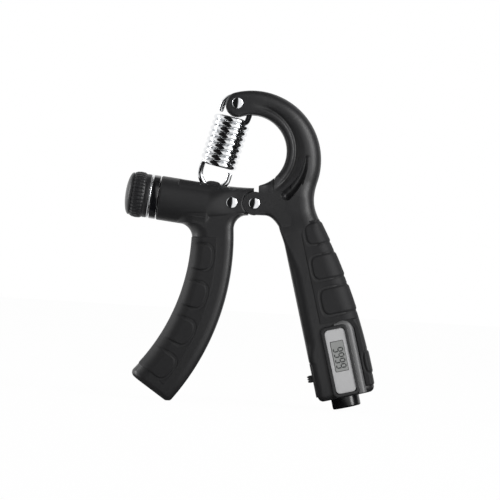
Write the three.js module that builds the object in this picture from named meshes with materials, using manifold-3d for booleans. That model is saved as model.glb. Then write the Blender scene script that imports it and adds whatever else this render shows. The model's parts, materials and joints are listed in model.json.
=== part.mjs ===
// Hand grip strengthener with adjustable tension and a squeeze counter.
//
// Two levers turn on one pivot pin. A coil spring pulls the arm of the finger lever towards a slider in
// the barrel of the palm lever, and a knob on the barrel's end moves that slider with a lead screw.
//
// Millimetres. The object stands on the palm lever's lower corner and on the reset button, its front
// faces -Y, +X is on the finger lever's side and +Z is up. Inside the `assembly` group the origin is the
// pivot pin's centre. In the `barrel` group +X runs along the barrel towards the hinge. In the
// `fingerHandle` group +Z runs up the handle and +X points to the fingers.

import * as THREE from 'three';
import { mergeVertices } from 'three/addons/utils/BufferGeometryUtils.js';
import Module from 'manifold-3d';

const wasm = await Module();
wasm.setup();

const degree = Math.PI / 180;

// ---------------------------------------------------------------- clearances and mesh fineness
const seatGap = 0.3;            // between two pieces fastened together
const runningGap = 0.15;        // between a shaft and its hole, and between sliding faces
const roundSides = 24;          // sides of a turned piece
const largeSides = 32;          // sides of the barrel, the knob and the cheeks
const smallSides = 16;          // sides of a pin, screw or button part
const stepsPerTurn = 12;        // of the spring's wire
const edgeSteps = 2;            // facets across a rounded edge

// ---------------------------------------------------------------- hinge
const hingeHalfDepth = 10;      // flat cheeks, front and rear
const lugRadius = 6.1;          // round ends of the finger lever's two cheeks
const tongueHalfDepth = 5.2;    // the plate between the cheeks
const tongueRadius = 5.7;       // its round end on the pivot
const tongueTailRadius = 3.5;   // its round end on the cross pin
const washerThickness = 0.5;
const washerRadius = 5.4;
const pinRadius = 2;            // pivot pin and cross pin
const pinHeadRadius = 2.9;
const pinHeadHeight = 1;
const bushingWall = 1.1;
const crossPinX = -11.7;
const crossPinZ = 0.4;

// ---------------------------------------------------------------- barrel of the palm lever
const barrelTilt = 9 * degree;  // the barrel falls towards the hinge
const barrelDrop = 4.7;         // its axis passes this far below the pivot
const barrelRadius = 11.5;
const barrelWall = 3.5;
const barrelEnd = 49.6;         // open end, from the foot of the pivot on the axis
const barrelNose = 12;
const noseTaper = 1.4;
const slotHalfWidth = 4.3;

// ---------------------------------------------------------------- slider, lead screw and knob
const sliderRest = 22.6;        // slider's centre at the weakest setting
const sliderTravel = 9;
const sliderHalfLength = 4.5;
const tabHalfLength = 3.6;
const tabRise = 1.4;            // the slider's tab stands this far above the barrel
const hookDepth = 2.2;          // the hook's wire lies this far below the barrel's top line
const screwRadius = 3;
const nutFlats = 9;             // across the flats of the slider's nut
const nutLength = 6;
const bushLength = 5;
const thrustThickness = 0.6;
const flangeThickness = 1.2;
const flangeRadius = 5.2;
const collarLength = 3.5;
const collarRadius = barrelRadius - 0.05;
const ringLength = 0.9;
const ringRadius = barrelRadius + 0.1;
const bandLength = 2.3;
const bandRadius = barrelRadius - 0.2;
const gripBandLength = 6.4;
const knobRadius = barrelRadius + 0.5;
const knobEndRadius = knobRadius - 0.85;
const knobWall = 2;
const domeHeight = 3.3;
const jamNutFlats = 8;          // across the flats of the nut that holds the knob
const jamNutLength = 3;

// ---------------------------------------------------------------- palm handle
const handleHalfDepth = 11.5;   // both handles
const edgeRounding = 3.6;       // long edges of both handles
const palmTopX = -21.5;         // where the handle's curved centreline leaves the barrel
const palmTopZ = -14;
const palmBendRadius = 116.5;
const palmBend = 44.7 * degree;
const palmTopHalfWidth = 10.7;
const palmEndHalfWidth = 12.7;
const palmEndSkew = 8.2 * degree;
const palmGripTop = 4 * degree;      // along the bend, where the rubber pad starts
const palmGripMargin = 3.2 * degree; // and how far it stops short of the end
const palmGripOffset = 1;            // the pad's edge, from the centreline towards the fingers
const rubberThickness = 2;

// ---------------------------------------------------------------- arm of the finger lever
const armHalfDepth = 8.5;
const armRounding = 3.4;
const loopX = -1.8;             // centre and radius of the round opening
const loopZ = 27.4;
const loopRadius = 18.6;
const archX = -1.2;             // centre and radius of the arm's outer arc
const archZ = 22.7;
const archRadius = 35.9;
const armTipAngle = 106 * degree; // where the arm's round tip lies, seen from the opening's centre
const anchorRise = 0.7;         // the spring's anchor pin above the centre of that tip
const notchWidth = 2.2;         // gap beside the palm lever's nose
const noseHeight = 8.1;
const forkHalfGap = 2.7;        // slot in the arm's end
const waistX = 31;              // narrowest place, between the arm and the handle
const waistZ = -0.2;

// ---------------------------------------------------------------- spring
const wireRadius = 1.45;
const coilRadius = 8.3;
const coilTurns = 8.5;
const coilPitch = 3.02;
const hookRadius = 7.6;
const anchorPinRadius = 1.5;
const rollerGrooveRadius = 2.1;
const rollerRadius = 2.9;
const rollerHalfWidth = 2.3;

// ---------------------------------------------------------------- finger handle
const fingerTilt = 11.75 * degree;
const fingerInnerX = 11;        // inner edge, from the pivot
const fingerOuterX = 41.9;      // outermost point of the bowed outer edge
const fingerBowRadius = 298;
const fingerBowZ = -95;
const fingerEndZ = -107.8;
const fingerGripX = 20;         // edge of the rubber on the front and rear
const fingerGripTopZ = -14.5;
const fingerGripStepZ = -68.5;  // below this the rubber keeps to the outer edge
const fingerGripLowX = 36.8;
const fingerGripEndZ = -104.5;

// ---------------------------------------------------------------- counter
const counterX = 26.9;          // centreline of the counter on the handle
const frameHalfWidth = 7.2;
const frameTopZ = -70.2;
const frameEndZ = -107.4;
const frameProud = 1.3;         // the frame stands above the handle's face
const frameDepth = 4;
const frameRim = 1.7;
const plateThickness = 0.7;
const windowHalfWidth = 3.25;
const windowTopZ = -78.5;
const windowEndZ = -94;
const glassThickness = 1.3;
const boardThickness = 1;
const boardTopZ = -73.5;
const boardEndZ = -96.5;
const cellRadius = 5.8;
const cellThickness = 3.05;
const cellZ = -81;
const cavityDepth = 14;         // behind the frame

// ---------------------------------------------------------------- side cover, trigger and reset button
const coverTopZ = -87.5;
const coverEndZ = -105.2;
const coverThickness = 2;
const coverHalfWidth = 7;
const coverScrewInset = 2.3;
const screwHeadRadius = 1.4;
const coverScrewLength = 5;
const triggerZ = -95.3;
const triggerHalfLength = 1.8;
const triggerHalfWidth = 3;
const triggerProud = 2.6;
const triggerTravel = 1.5;
const triggerTeeth = 3;
const toothDepth = 0.9;
const switchDepth = 3.6;
const resetX = 25.6;
const resetRadius = 7.4;
const resetProud = 5.7;
const resetInside = 6.6;
const resetTravel = 1.2;
const resetStemRadius = 2;
const resetChamfer = 0.8;

// ---------------------------------------------------------------- geometry helpers

/** Closed three.js geometry as a solid for joining and cutting. */
function toSolid(geometry) {
  const bare = geometry.clone();
  bare.deleteAttribute('normal');
  bare.deleteAttribute('uv');
  const merged = mergeVertices(bare, 1e-4);
  return new wasm.Manifold(new wasm.Mesh({
    numProp: 3,
    vertProperties: merged.attributes.position.array,
    triVerts: new Uint32Array(merged.index.array),
  }));
}

/** Solid back to a three.js geometry. */
function toGeometry(solid) {
  const mesh = solid.getMesh();
  const geometry = new THREE.BufferGeometry();
  geometry.setAttribute('position', new THREE.BufferAttribute(mesh.vertProperties, 3));
  geometry.setIndex(new THREE.BufferAttribute(mesh.triVerts, 1));
  geometry.computeVertexNormals();
  return geometry;
}

const join = (...geometries) => toGeometry(geometries.map(toSolid).reduce((a, b) => a.add(b)));
const cut = (base, ...tools) => toGeometry(tools.map(toSolid).reduce((a, b) => a.subtract(b), toSolid(base)));
const overlap = (a, b) => toGeometry(toSolid(a).intersect(toSolid(b)));

/** Outline in x and z, swept from y = front to y = rear. */
function panel(shape, front, rear, curveSegments = 5) {
  const options = { depth: rear - front, bevelEnabled: false, curveSegments };
  return new THREE.ExtrudeGeometry(shape, options).rotateX(Math.PI / 2).translate(0, rear, 0);
}

/** Outline in x and z, of the same depth on both sides of y = 0, its long edges rounded. */
function slab(shape, halfDepth, rounding, curveSegments = 6) {
  const straight = halfDepth - rounding;
  const geometry = new THREE.ExtrudeGeometry(shape, {
    depth: 2 * straight, bevelEnabled: true, bevelThickness: rounding, bevelSize: rounding,
    bevelOffset: -rounding, bevelSegments: edgeSteps, curveSegments,
  });
  return geometry.rotateX(Math.PI / 2).translate(0, straight, 0);
}

/** Box between two corners. */
function box(x0, x1, y0, y1, z0, z1) {
  const geometry = new THREE.BoxGeometry(x1 - x0, y1 - y0, z1 - z0);
  return geometry.translate((x0 + x1) / 2, (y0 + y1) / 2, (z0 + z1) / 2);
}

/** Turned piece: profile points are [radius, place along the axis], in rising order on the outside. */
function turned(profile, axis, sides = roundSides) {
  const geometry = new THREE.LatheGeometry(profile.map(([radius, along]) => new THREE.Vector2(radius, along)), sides);
  if (axis === 'x') geometry.rotateZ(-Math.PI / 2);
  if (axis === 'z') geometry.rotateX(Math.PI / 2);
  return geometry;
}

/** Solid cylinder from one place along an axis to another. */
const rod = (radius, from, to, axis, sides = roundSides) =>
  turned([[0, from], [radius, from], [radius, to], [0, to]], axis, sides);

/** Radius of a many-sided hole whose flats clear a shaft by the gap. */
const holeRadius = (shaftRadius, gap, sides = roundSides) => (shaftRadius + gap) / Math.cos(Math.PI / sides);

/** Flat ring between two radii. */
const ring = (inner, outer, from, to, axis, sides = roundSides) =>
  turned([[inner, from], [outer, from], [outer, to], [inner, to], [inner, from]], axis, sides);

/** Rectangle in x and z with round corners. */
function roundedRectangle(x0, x1, z0, z1, radius) {
  const shape = new THREE.Shape();
  shape.moveTo(x0 + radius, z0);
  shape.lineTo(x1 - radius, z0).absarc(x1 - radius, z0 + radius, radius, -Math.PI / 2, 0, false);
  shape.lineTo(x1, z1 - radius).absarc(x1 - radius, z1 - radius, radius, 0, Math.PI / 2, false);
  shape.lineTo(x0 + radius, z1).absarc(x0 + radius, z1 - radius, radius, Math.PI / 2, Math.PI, false);
  shape.lineTo(x0, z0 + radius).absarc(x0 + radius, z0 + radius, radius, Math.PI, 1.5 * Math.PI, false);
  return shape;
}

/** Six-sided bar along x, measured across its flats. */
const hexBar = (flats, from, to) => rod(flats / 2 / Math.cos(Math.PI / 6), from, to, 'x', 6);

const finish = (color, roughness, metalness = 0) => new THREE.MeshStandardMaterial({ color, roughness, metalness });

function piece(name, geometry, material) {
  const mesh = new THREE.Mesh(geometry, material);
  mesh.name = name;
  return mesh;
}

// ---------------------------------------------------------------- materials
const blackPlastic = finish(0x2b2b2d, 0.5);
const glossPlastic = finish(0x18181a, 0.2);
const rubber = finish(0x27272a, 0.85);
const chrome = finish(0xd8dade, 0.12, 1);
const steel = finish(0x9ea2a8, 0.35, 1);
const brass = finish(0xb58a3f, 0.35, 1);
const nylon = finish(0xd9d5c8, 0.6);
const greyPlate = finish(0xbfc1c2, 0.5);
const displayGlass = finish(0x9aa39b, 0.15);
const boardGreen = finish(0x1f5a37, 0.6);

// ---------------------------------------------------------------- frames of the two handles
const barrelFoot = new THREE.Vector3(-barrelDrop * Math.sin(barrelTilt), 0, -barrelDrop * Math.cos(barrelTilt));
const barrelFrame = new THREE.Matrix4().makeRotationY(barrelTilt).setPosition(barrelFoot);
const fingerFrame = new THREE.Matrix4().makeRotationY(-fingerTilt);
const inBarrel = (geometry) => geometry.applyMatrix4(barrelFrame);
const inFinger = (geometry) => geometry.applyMatrix4(fingerFrame);

const boreRadius = barrelRadius - barrelWall;
const boreEnd = sliderRest - sliderHalfLength - 0.7;
const hookHeight = barrelRadius - hookDepth;           // of the hook's wire, above the barrel's axis
const lowerLoop = new THREE.Vector3(-sliderRest, 0, hookHeight + hookRadius).applyMatrix4(barrelFrame);

/** Radius of the arm's tip, tangent to the round opening from outside and to the outer arc from inside. */
function tipRadius() {
  const offset = new THREE.Vector2(loopX - archX, loopZ - archZ);
  const along = offset.x * Math.cos(armTipAngle) + offset.y * Math.sin(armTipAngle);
  const rest = archRadius ** 2 - offset.lengthSq() - loopRadius ** 2 - 2 * loopRadius * along;
  return rest / (2 * (along + loopRadius + archRadius));
}

const armTipRadius = tipRadius();
const armTip = new THREE.Vector3(Math.cos(armTipAngle), 0, Math.sin(armTipAngle))
  .multiplyScalar(loopRadius + armTipRadius).add(new THREE.Vector3(loopX, 0, loopZ));
const anchor = new THREE.Vector3(armTip.x, 0, armTip.z + anchorRise);
const hookToRoller = hookRadius - wireRadius - rollerGrooveRadius - 0.1;
const loopToAnchor = anchor.clone().sub(lowerLoop);
const springUp = loopToAnchor.clone().normalize();
const springTilt = Math.atan2(springUp.x, springUp.z);
const springSpan = loopToAnchor.length() - hookToRoller; // between the centres of the two hooks

// ---------------------------------------------------------------- palm lever

/** Point on the palm handle: bend angle from the top, offset towards the fingers. */
function palmPoint(angle, offset) {
  const reach = palmBendRadius * (1 - Math.cos(angle));
  const x = palmTopX - reach + offset * Math.cos(angle);
  const z = palmTopZ - palmBendRadius * Math.sin(angle) - offset * Math.sin(angle);
  return new THREE.Vector2(x, z);
}

const palmHalfWidth = (angle) => palmTopHalfWidth + (palmEndHalfWidth - palmTopHalfWidth) * (angle / palmBend);

/** Curved outline of the palm handle, drawn inside its real edge by the inset. */
function palmHandleShape(inset) {
  const steps = 9;
  const skew = palmEndHalfWidth * Math.tan(palmEndSkew) / palmBendRadius;
  const shorten = inset / palmBendRadius;
  const edge = (side) => Array.from({ length: steps + 1 }, (_, i) => {
    const angle = (palmBend - side * skew - shorten) * (i / steps);
    return palmPoint(angle, side * (palmHalfWidth(angle) - inset));
  });
  const right = edge(1);
  const left = edge(-1).reverse();
  const shape = new THREE.Shape();
  const top = -inset;
  const flare = left.at(-1).x - edgeRounding + inset;
  shape.moveTo(right[0].x, top);
  shape.lineTo(right[0].x, right[0].y);
  cutCorners(shape, right, left);
  shape.lineTo(left.at(-1).x, left.at(-1).y);
  shape.quadraticCurveTo(left.at(-1).x, palmTopZ + edgeRounding, flare, top - 2 * edgeRounding);
  shape.lineTo(flare, top);
  return shape;
}

/** Runs down one edge and up the other, with the two corners at the handle's end taken off. */
function cutCorners(shape, down, up) {
  const cornerCut = edgeRounding * 0.7;
  for (const point of down.slice(1, -1)) shape.lineTo(point.x, point.y);
  const [last, first] = [down.at(-1), up[0]];
  const along = last.clone().sub(down.at(-2)).setLength(cornerCut);
  const across = first.clone().sub(last).setLength(cornerCut);
  const back = up[1].clone().sub(first).setLength(cornerCut);
  shape.lineTo(last.x - along.x, last.y - along.y);
  shape.lineTo(last.x + across.x, last.y + across.y);
  shape.lineTo(first.x - across.x, first.y - across.y);
  shape.lineTo(first.x + back.x, first.y + back.y);
  for (const point of up.slice(1, -1)) shape.lineTo(point.x, point.y);
}

/** Area of the palm handle that the rubber pad covers, grown or shrunk at its borders. */
function palmGripRegion(grow) {
  const from = palmGripTop - grow / palmBendRadius;
  const to = palmBend - palmGripMargin + grow / palmBendRadius;
  const steps = 7;
  const shape = new THREE.Shape();
  const reach = 2 * palmEndHalfWidth;
  const at = (i, offset) => palmPoint(from + (to - from) * (i / steps), offset);
  shape.moveTo(at(steps, -reach).x, at(steps, -reach).y);
  for (let i = steps - 1; i >= 0; i -= 1) shape.lineTo(at(i, -reach).x, at(i, -reach).y);
  for (let i = 0; i <= steps; i += 1) shape.lineTo(at(i, palmGripOffset + grow).x, at(i, palmGripOffset + grow).y);
  return shape;
}

/** Flat block that carries the seat of the two cheeks, with the nose above it. */
function palmHingeBlock() {
  const shape = new THREE.Shape();
  shape.moveTo(0, noseHeight);
  shape.lineTo(-16, noseHeight + 1);
  shape.lineTo(-17, palmTopZ - 3);
  shape.lineTo(-11.4, palmTopZ - 3);
  shape.quadraticCurveTo(-11.2, -11, -6.2, -6.9);
  shape.lineTo(-lugRadius * 0.5, -lugRadius - 0.2);
  shape.lineTo(0, 0);
  return slab(shape, hingeHalfDepth, 2);
}

/** Outline of the tongue between the pivot and the cross pin. */
function tongueShape(grow) {
  const tilt = Math.atan2(crossPinZ, crossPinX);
  const shape = new THREE.Shape();
  shape.absarc(0, 0, tongueRadius + grow, tilt - Math.PI * 1.5, tilt - Math.PI / 2, false);
  shape.absarc(crossPinX, crossPinZ, tongueTailRadius + grow, tilt - Math.PI / 2, tilt + Math.PI / 2, false);
  return shape;
}

/** Barrel tube, closed towards the hinge and open at the knob. */
function barrelTube() {
  const profile = [
    [0, -barrelEnd], [barrelRadius - 0.5, -barrelEnd], [barrelRadius, 0.5 - barrelEnd],
    [barrelRadius, -barrelNose - 2], [barrelRadius - noseTaper, -barrelNose + 1], [0, -barrelNose + 1],
  ];
  return inBarrel(turned(profile, 'x', largeSides));
}

const hookChord = Math.sqrt((hookRadius + wireRadius) ** 2 - (hookRadius - hookDepth) ** 2) + 0.5;

/** Everything that is hollow in the palm lever. */
function palmHollows() {
  const bore = inBarrel(rod(boreRadius, -barrelEnd - 1, -boreEnd, 'x', largeSides));
  const slotFrom = -(sliderRest + sliderTravel + hookChord);
  const slotTo = -(sliderRest - hookChord);
  const slot = inBarrel(box(slotFrom, slotTo, -slotHalfWidth, slotHalfWidth, boreRadius + 0.6, barrelRadius + 4));
  const keyway = inBarrel(box(slotFrom, -boreEnd - 0.01, -slotHalfWidth, slotHalfWidth, 4, barrelRadius));
  const seat = rod(lugRadius + seatGap, -hingeHalfDepth - 2, hingeHalfDepth + 2, 'y', largeSides);
  const tongueSlot = panel(tongueShape(seatGap), -tongueHalfDepth - seatGap, tongueHalfDepth + seatGap);
  const pinHole = rod(holeRadius(pinRadius, runningGap, smallSides), -20, 20, 'y', smallSides);
  pinHole.translate(crossPinX, 0, crossPinZ);
  const faces = [-1, 1].map((side) => {
    const face = box(-8, 8, 0, 4, -8, 8).translate(crossPinX, side < 0 ? -hingeHalfDepth - 4 : hingeHalfDepth, 0);
    return face;
  });
  return [bore, slot, keyway, seat, tongueSlot, pinHole, ...faces];
}

const palmHandle = () => slab(palmHandleShape(0), handleHalfDepth, edgeRounding);

/** Core that the palm handle keeps under the rubber pad. */
const palmCore = (skin) => slab(palmHandleShape(skin), handleHalfDepth - skin, edgeRounding - 1);

function palmLever() {
  const padRoom = cut(panel(palmGripRegion(seatGap), -20, 20), palmCore(rubberThickness + seatGap));
  return cut(join(palmHandle(), palmHingeBlock(), barrelTube()), padRoom, ...palmHollows());
}

function palmGrip() {
  return cut(overlap(palmHandle(), panel(palmGripRegion(0), -20, 20)), palmCore(rubberThickness));
}

// ---------------------------------------------------------------- hinge pieces

/** Rivet across the hinge: a shank and a domed head on each side. */
function rivet(shankRadius, halfDepth) {
  const under = halfDepth + runningGap;
  const top = under + pinHeadHeight;
  const dome = [[pinHeadRadius, under], [pinHeadRadius, under + 0.35], [pinHeadRadius * 0.7, top - 0.15], [0, top]];
  const mirrored = dome.map(([radius, along]) => [radius, -along]).reverse();
  return turned([...mirrored, [shankRadius, -under], [shankRadius, under], ...dome], 'y', smallSides);
}

function hingeTongue() {
  const hole = rod(holeRadius(pinRadius, runningGap + bushingWall + runningGap, smallSides), -9, 9, 'y', smallSides);
  const tailHole = rod(holeRadius(pinRadius, runningGap, smallSides), -9, 9, 'y', smallSides);
  tailHole.translate(crossPinX, 0, crossPinZ);
  return cut(panel(tongueShape(0), -tongueHalfDepth, tongueHalfDepth), hole, tailHole);
}

function pivotBushing() {
  const inner = holeRadius(pinRadius, runningGap, smallSides);
  return ring(inner, pinRadius + runningGap + bushingWall, -tongueHalfDepth, tongueHalfDepth, 'y', smallSides);
}

function hingeWasher(side) {
  const near = tongueHalfDepth + runningGap;
  const inner = holeRadius(pinRadius, runningGap, smallSides);
  const [from, to] = side > 0 ? [near, near + washerThickness] : [-near - washerThickness, -near];
  return ring(inner, washerRadius, from, to, 'y', smallSides);
}

// ---------------------------------------------------------------- tension adjuster, along the barrel
const bushFrom = -barrelEnd;
const thrustFrom = bushFrom - runningGap - thrustThickness;
const flangeFrom = thrustFrom - runningGap - flangeThickness;
const collarTo = -barrelEnd - seatGap;
const collarFrom = collarTo - collarLength;
const ringTo = collarFrom - seatGap;
const ringFrom = ringTo - ringLength;
const knobTo = ringFrom - runningGap;
const bandFrom = knobTo - bandLength;
const knobFrom = bandFrom - gripBandLength;
const knobFloor = knobTo - bandLength;
const screwHole = holeRadius(screwRadius, runningGap);

function barrelBush() {
  return ring(screwHole, boreRadius - seatGap, bushFrom, bushFrom + bushLength, 'x');
}

function barrelCollar() {
  const chamber = flangeRadius + 0.8;
  const wall = flangeFrom - seatGap;
  return turned([
    [chamber, collarTo], [chamber, wall], [screwHole, wall], [screwHole, collarFrom], [collarRadius - 0.4, collarFrom],
    [collarRadius, collarFrom + 0.4], [collarRadius, collarTo - 0.4], [collarRadius - 0.4, collarTo], [chamber, collarTo],
  ], 'x', largeSides);
}

function leadScrew() {
  const tip = -(boreEnd + 0.6);
  const end = knobFloor - jamNutLength - 1;
  return turned([
    [0, end], [screwRadius, end], [screwRadius, flangeFrom], [flangeRadius, flangeFrom],
    [flangeRadius, flangeFrom + flangeThickness], [screwRadius, flangeFrom + flangeThickness],
    [screwRadius, tip - 0.8], [screwRadius - 0.8, tip], [0, tip],
  ], 'x');
}

function thrustWasher() {
  return ring(screwHole, flangeRadius, thrustFrom, thrustFrom + thrustThickness, 'x');
}

function tensionKnob() {
  const inside = knobEndRadius - knobWall;
  return turned([
    [inside, knobFrom], [knobEndRadius - 0.4, knobFrom], [knobEndRadius, knobFrom + 0.4], [knobRadius, bandFrom - 0.6],
    [knobRadius - 0.3, bandFrom - 0.1], [bandRadius, bandFrom], [bandRadius, knobTo], [screwHole, knobTo],
    [screwHole, knobFloor], [inside, knobFloor], [inside, knobFrom],
  ], 'x', largeSides);
}

function knobRing() {
  return ring(screwHole, ringRadius, ringFrom, ringTo, 'x', largeSides);
}

/** Domed cap with a spigot that plugs the knob. */
function knobEndCap() {
  const spigot = knobEndRadius - knobWall - seatGap;
  const rim = knobEndRadius - 0.3;
  const seat = knobFrom - seatGap;
  const dome = [1, 0.8, 0.55, 0.3].map((share) => [rim * share, seat - domeHeight * Math.sqrt(1 - share * share) * 0.95]);
  return turned([
    [0, seat - domeHeight], ...dome.reverse(), [rim, seat], [spigot, seat], [spigot, seat + 1.5],
    [spigot - 1.5, seat + 1.5], [spigot - 1.5, seat - 0.5], [0, seat - 0.5],
  ].filter((point, i, all) => i === 0 || Math.hypot(point[0] - all[i - 1][0], point[1] - all[i - 1][1]) > 1e-6), 'x', largeSides);
}

function knobNut() {
  const to = knobFloor - runningGap;
  const hole = rod(holeRadius(screwRadius, runningGap, smallSides), to - 9, to + 9, 'x', smallSides);
  return cut(hexBar(jamNutFlats, to - jamNutLength, to), hole);
}

/** Closed ring of round section that follows the lower hook, to clear its wire. */
function hookPassage(gap) {
  const passage = new THREE.TorusGeometry(hookRadius, wireRadius + gap, 8, 32).rotateX(Math.PI / 2);
  return passage.translate(-sliderRest, 0, hookHeight + hookRadius);
}

function tensionSlider() {
  const body = rod(boreRadius - seatGap, -sliderHalfLength, sliderHalfLength, 'x', largeSides).translate(-sliderRest, 0, 0);
  const top = barrelRadius + tabRise;
  const outline = new THREE.Shape();
  outline.moveTo(-tabHalfLength, 4).lineTo(tabHalfLength, 4).lineTo(tabHalfLength, top - 1.2);
  outline.quadraticCurveTo(tabHalfLength - 0.3, top, 0, top);
  outline.quadraticCurveTo(-tabHalfLength + 0.3, top, -tabHalfLength, top - 1.2);
  const tab = panel(outline, seatGap - slotHalfWidth, slotHalfWidth - seatGap).translate(-sliderRest, 0, 0);
  const screwWay = rod(screwRadius + seatGap, -60, 0, 'x', smallSides);
  const right = -sliderRest + sliderHalfLength;
  const nutWay = hexBar(nutFlats + 2 * seatGap, right - nutLength - seatGap, right + 1);
  return cut(join(body, tab), screwWay, nutWay, hookPassage(0.45));
}

function sliderNut() {
  const right = -sliderRest + sliderHalfLength;
  const hole = rod(holeRadius(screwRadius, runningGap, smallSides), right - 20, right + 1, 'x', smallSides);
  return cut(hexBar(nutFlats, right - nutLength, right), hole);
}

// ---------------------------------------------------------------- finger lever

/** Arm around the round opening, from the nose gap over the top to the spring's end and down to the waist. */
function armShape() {
  const shape = new THREE.Shape();
  const start = Math.atan2(noseHeight + 1 - loopZ, notchWidth - loopX);
  const arch = Math.atan2(armTip.z - archZ, armTip.x - archX);
  shape.moveTo(notchWidth, 0);
  shape.lineTo(loopX + loopRadius * Math.cos(start), loopZ + loopRadius * Math.sin(start));
  shape.absarc(loopX, loopZ, loopRadius, start, armTipAngle, false);
  shape.absarc(armTip.x, armTip.z, armTipRadius, armTipAngle + Math.PI, arch, true);
  shape.absarc(archX, archZ, archRadius, arch, -0.34, true);
  shape.bezierCurveTo(waistX - 2.2, waistZ, waistX + 0.6, waistZ - 2, waistX + 3, waistZ - 8.5);
  shape.lineTo(waistX + 5.2, waistZ - 14);
  shape.lineTo(waistX - 6, waistZ - 16);
  return shape;
}

/** Block on the pivot's right, between the nose gap, the underside and the arm. */
function fingerHingeBlock() {
  const shape = new THREE.Shape();
  shape.moveTo(notchWidth, noseHeight + 0.6);
  shape.quadraticCurveTo(10, 11, 16, 14);
  shape.lineTo(waistX - 6, 4);
  shape.lineTo(waistX - 8, -12);
  shape.lineTo(13, -14);
  shape.quadraticCurveTo(10, -6.5, 5, -lugRadius + 0.3);
  shape.lineTo(0.5, -lugRadius + 0.2);
  shape.lineTo(0.5, 0);
  shape.lineTo(notchWidth, 2);
  return slab(shape, hingeHalfDepth, 1.5);
}

const fingerBow = (z, inset) => fingerOuterX - inset - (z - fingerBowZ) ** 2 / (2 * fingerBowRadius);

/** Outline of the finger handle in its own frame, drawn inside its real edge by the inset. */
function fingerHandleShape(inset, topZ) {
  const inner = fingerInnerX + inset;
  const end = fingerEndZ + inset;
  const corner = edgeRounding + 0.2;
  const steps = 8;
  const shape = new THREE.Shape();
  shape.moveTo(inner - 3.5, topZ);
  shape.lineTo(inner - 1, topZ - 9);
  shape.lineTo(inner, topZ - 20);
  shape.lineTo(inner, end + corner);
  shape.absarc(inner + corner, end + corner, corner, Math.PI, 1.5 * Math.PI, false);
  const outer = fingerBow(end + corner, inset);
  shape.lineTo(outer - corner, end);
  shape.absarc(outer - corner, end + corner, corner, -Math.PI / 2, 0, false);
  for (let i = 1; i <= steps; i += 1) {
    const z = end + corner + (topZ - end - corner) * (i / steps);
    shape.lineTo(fingerBow(z, inset), z);
  }
  return shape;
}

/** Area of the finger handle that the rubber covers, grown or shrunk at its borders. */
function fingerGripRegion(grow) {
  const far = fingerOuterX + 10;
  const shape = new THREE.Shape();
  shape.moveTo(far, fingerGripTopZ + 5 + grow);
  shape.lineTo(fingerGripX + 6, fingerGripTopZ + 1 + grow);
  shape.quadraticCurveTo(fingerGripX - grow, fingerGripTopZ - 1, fingerGripX - grow, fingerGripTopZ - 7);
  shape.lineTo(fingerGripX - grow, fingerGripStepZ - grow);
  shape.lineTo(fingerGripLowX - 3 - grow, fingerGripStepZ - 1 - grow);
  shape.quadraticCurveTo(fingerGripLowX - grow, fingerGripStepZ - 2 - grow, fingerGripLowX - grow, fingerGripStepZ - 9);
  shape.lineTo(fingerGripLowX - grow, fingerGripEndZ - grow);
  shape.lineTo(far, fingerGripEndZ - grow);
  return shape;
}

/** Fork slot for the spring's hook, and the holes of the anchor pin and the pivot pin. */
function armHollows() {
  const forkEnd = anchor.x + hookRadius + wireRadius + 1.5;
  const fork = box(anchor.x - 20, forkEnd, -forkHalfGap, forkHalfGap, anchor.z - 14, anchor.z + 12);
  const anchorHole = rod(holeRadius(anchorPinRadius, runningGap, smallSides), -20, 20, 'y', smallSides);
  anchorHole.translate(anchor.x, 0, anchor.z);
  const cheekGap = tongueHalfDepth + washerThickness + 2 * runningGap;
  const tongueWay = rod(lugRadius + 0.1, -cheekGap, cheekGap, 'y', largeSides);
  const pivotHole = rod(holeRadius(pinRadius, runningGap, smallSides), -20, 20, 'y', smallSides);
  return [fork, anchorHole, tongueWay, pivotHole];
}

const frameFront = -handleHalfDepth - frameProud;
const frameBack = frameFront + frameDepth;
const boardFront = frameBack + seatGap;
const cavityBack = frameBack + cavityDepth;
const coverBack = fingerInnerX + coverThickness;
const resetBoreTopZ = fingerEndZ + resetInside + resetTravel + 0.6;
const switchBackX = coverBack + seatGap + 1.5 + triggerTravel + seatGap;

/** Pockets of the counter, its cover, the trigger and the reset button, in the handle's frame. */
function counterHollows() {
  const pocket = panel(
    roundedRectangle(counterX - frameHalfWidth - seatGap, counterX + frameHalfWidth + seatGap,
      fingerEndZ - 6, frameTopZ + seatGap, 3), -20, boardFront - 0.01);
  const cavity = box(counterX - frameHalfWidth + 0.4, counterX + frameHalfWidth - 0.4, boardFront - 1, cavityBack,
    boardEndZ - 0.7, boardTopZ + 0.7);
  const coverSeat = box(fingerInnerX - 3, coverBack + seatGap, -coverHalfWidth - seatGap, coverHalfWidth + seatGap,
    coverEndZ - seatGap, coverTopZ + seatGap);
  const chamber = box(fingerInnerX, switchBackX + switchDepth + 0.4, -5, 5, triggerZ - 3.7, triggerZ + 3.7);
  const bore = rod(holeRadius(resetRadius, seatGap), fingerEndZ - 5, resetBoreTopZ, 'z').translate(resetX, 0, 0);
  const stemWay = rod(holeRadius(resetStemRadius, seatGap, smallSides), fingerEndZ, boardEndZ + 2, 'z', smallSides);
  stemWay.translate(resetX, 0, 0);
  const screwWays = coverScrewPlaces().map((z) => rod(1.1, fingerInnerX, fingerInnerX + coverScrewLength + 0.6, 'x', 12)
    .translate(0, 0, z));
  return [pocket, cavity, coverSeat, chamber, bore, stemWay, ...screwWays];
}

const coverScrewPlaces = () => [coverTopZ - coverScrewInset, coverEndZ + coverScrewInset];

const fingerHandle = () => slab(fingerHandleShape(0, -5), handleHalfDepth, edgeRounding);

/** Core that the finger handle keeps under the rubber. */
const fingerCore = (skin) => slab(fingerHandleShape(skin, -9), handleHalfDepth - skin, edgeRounding - 1);

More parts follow.
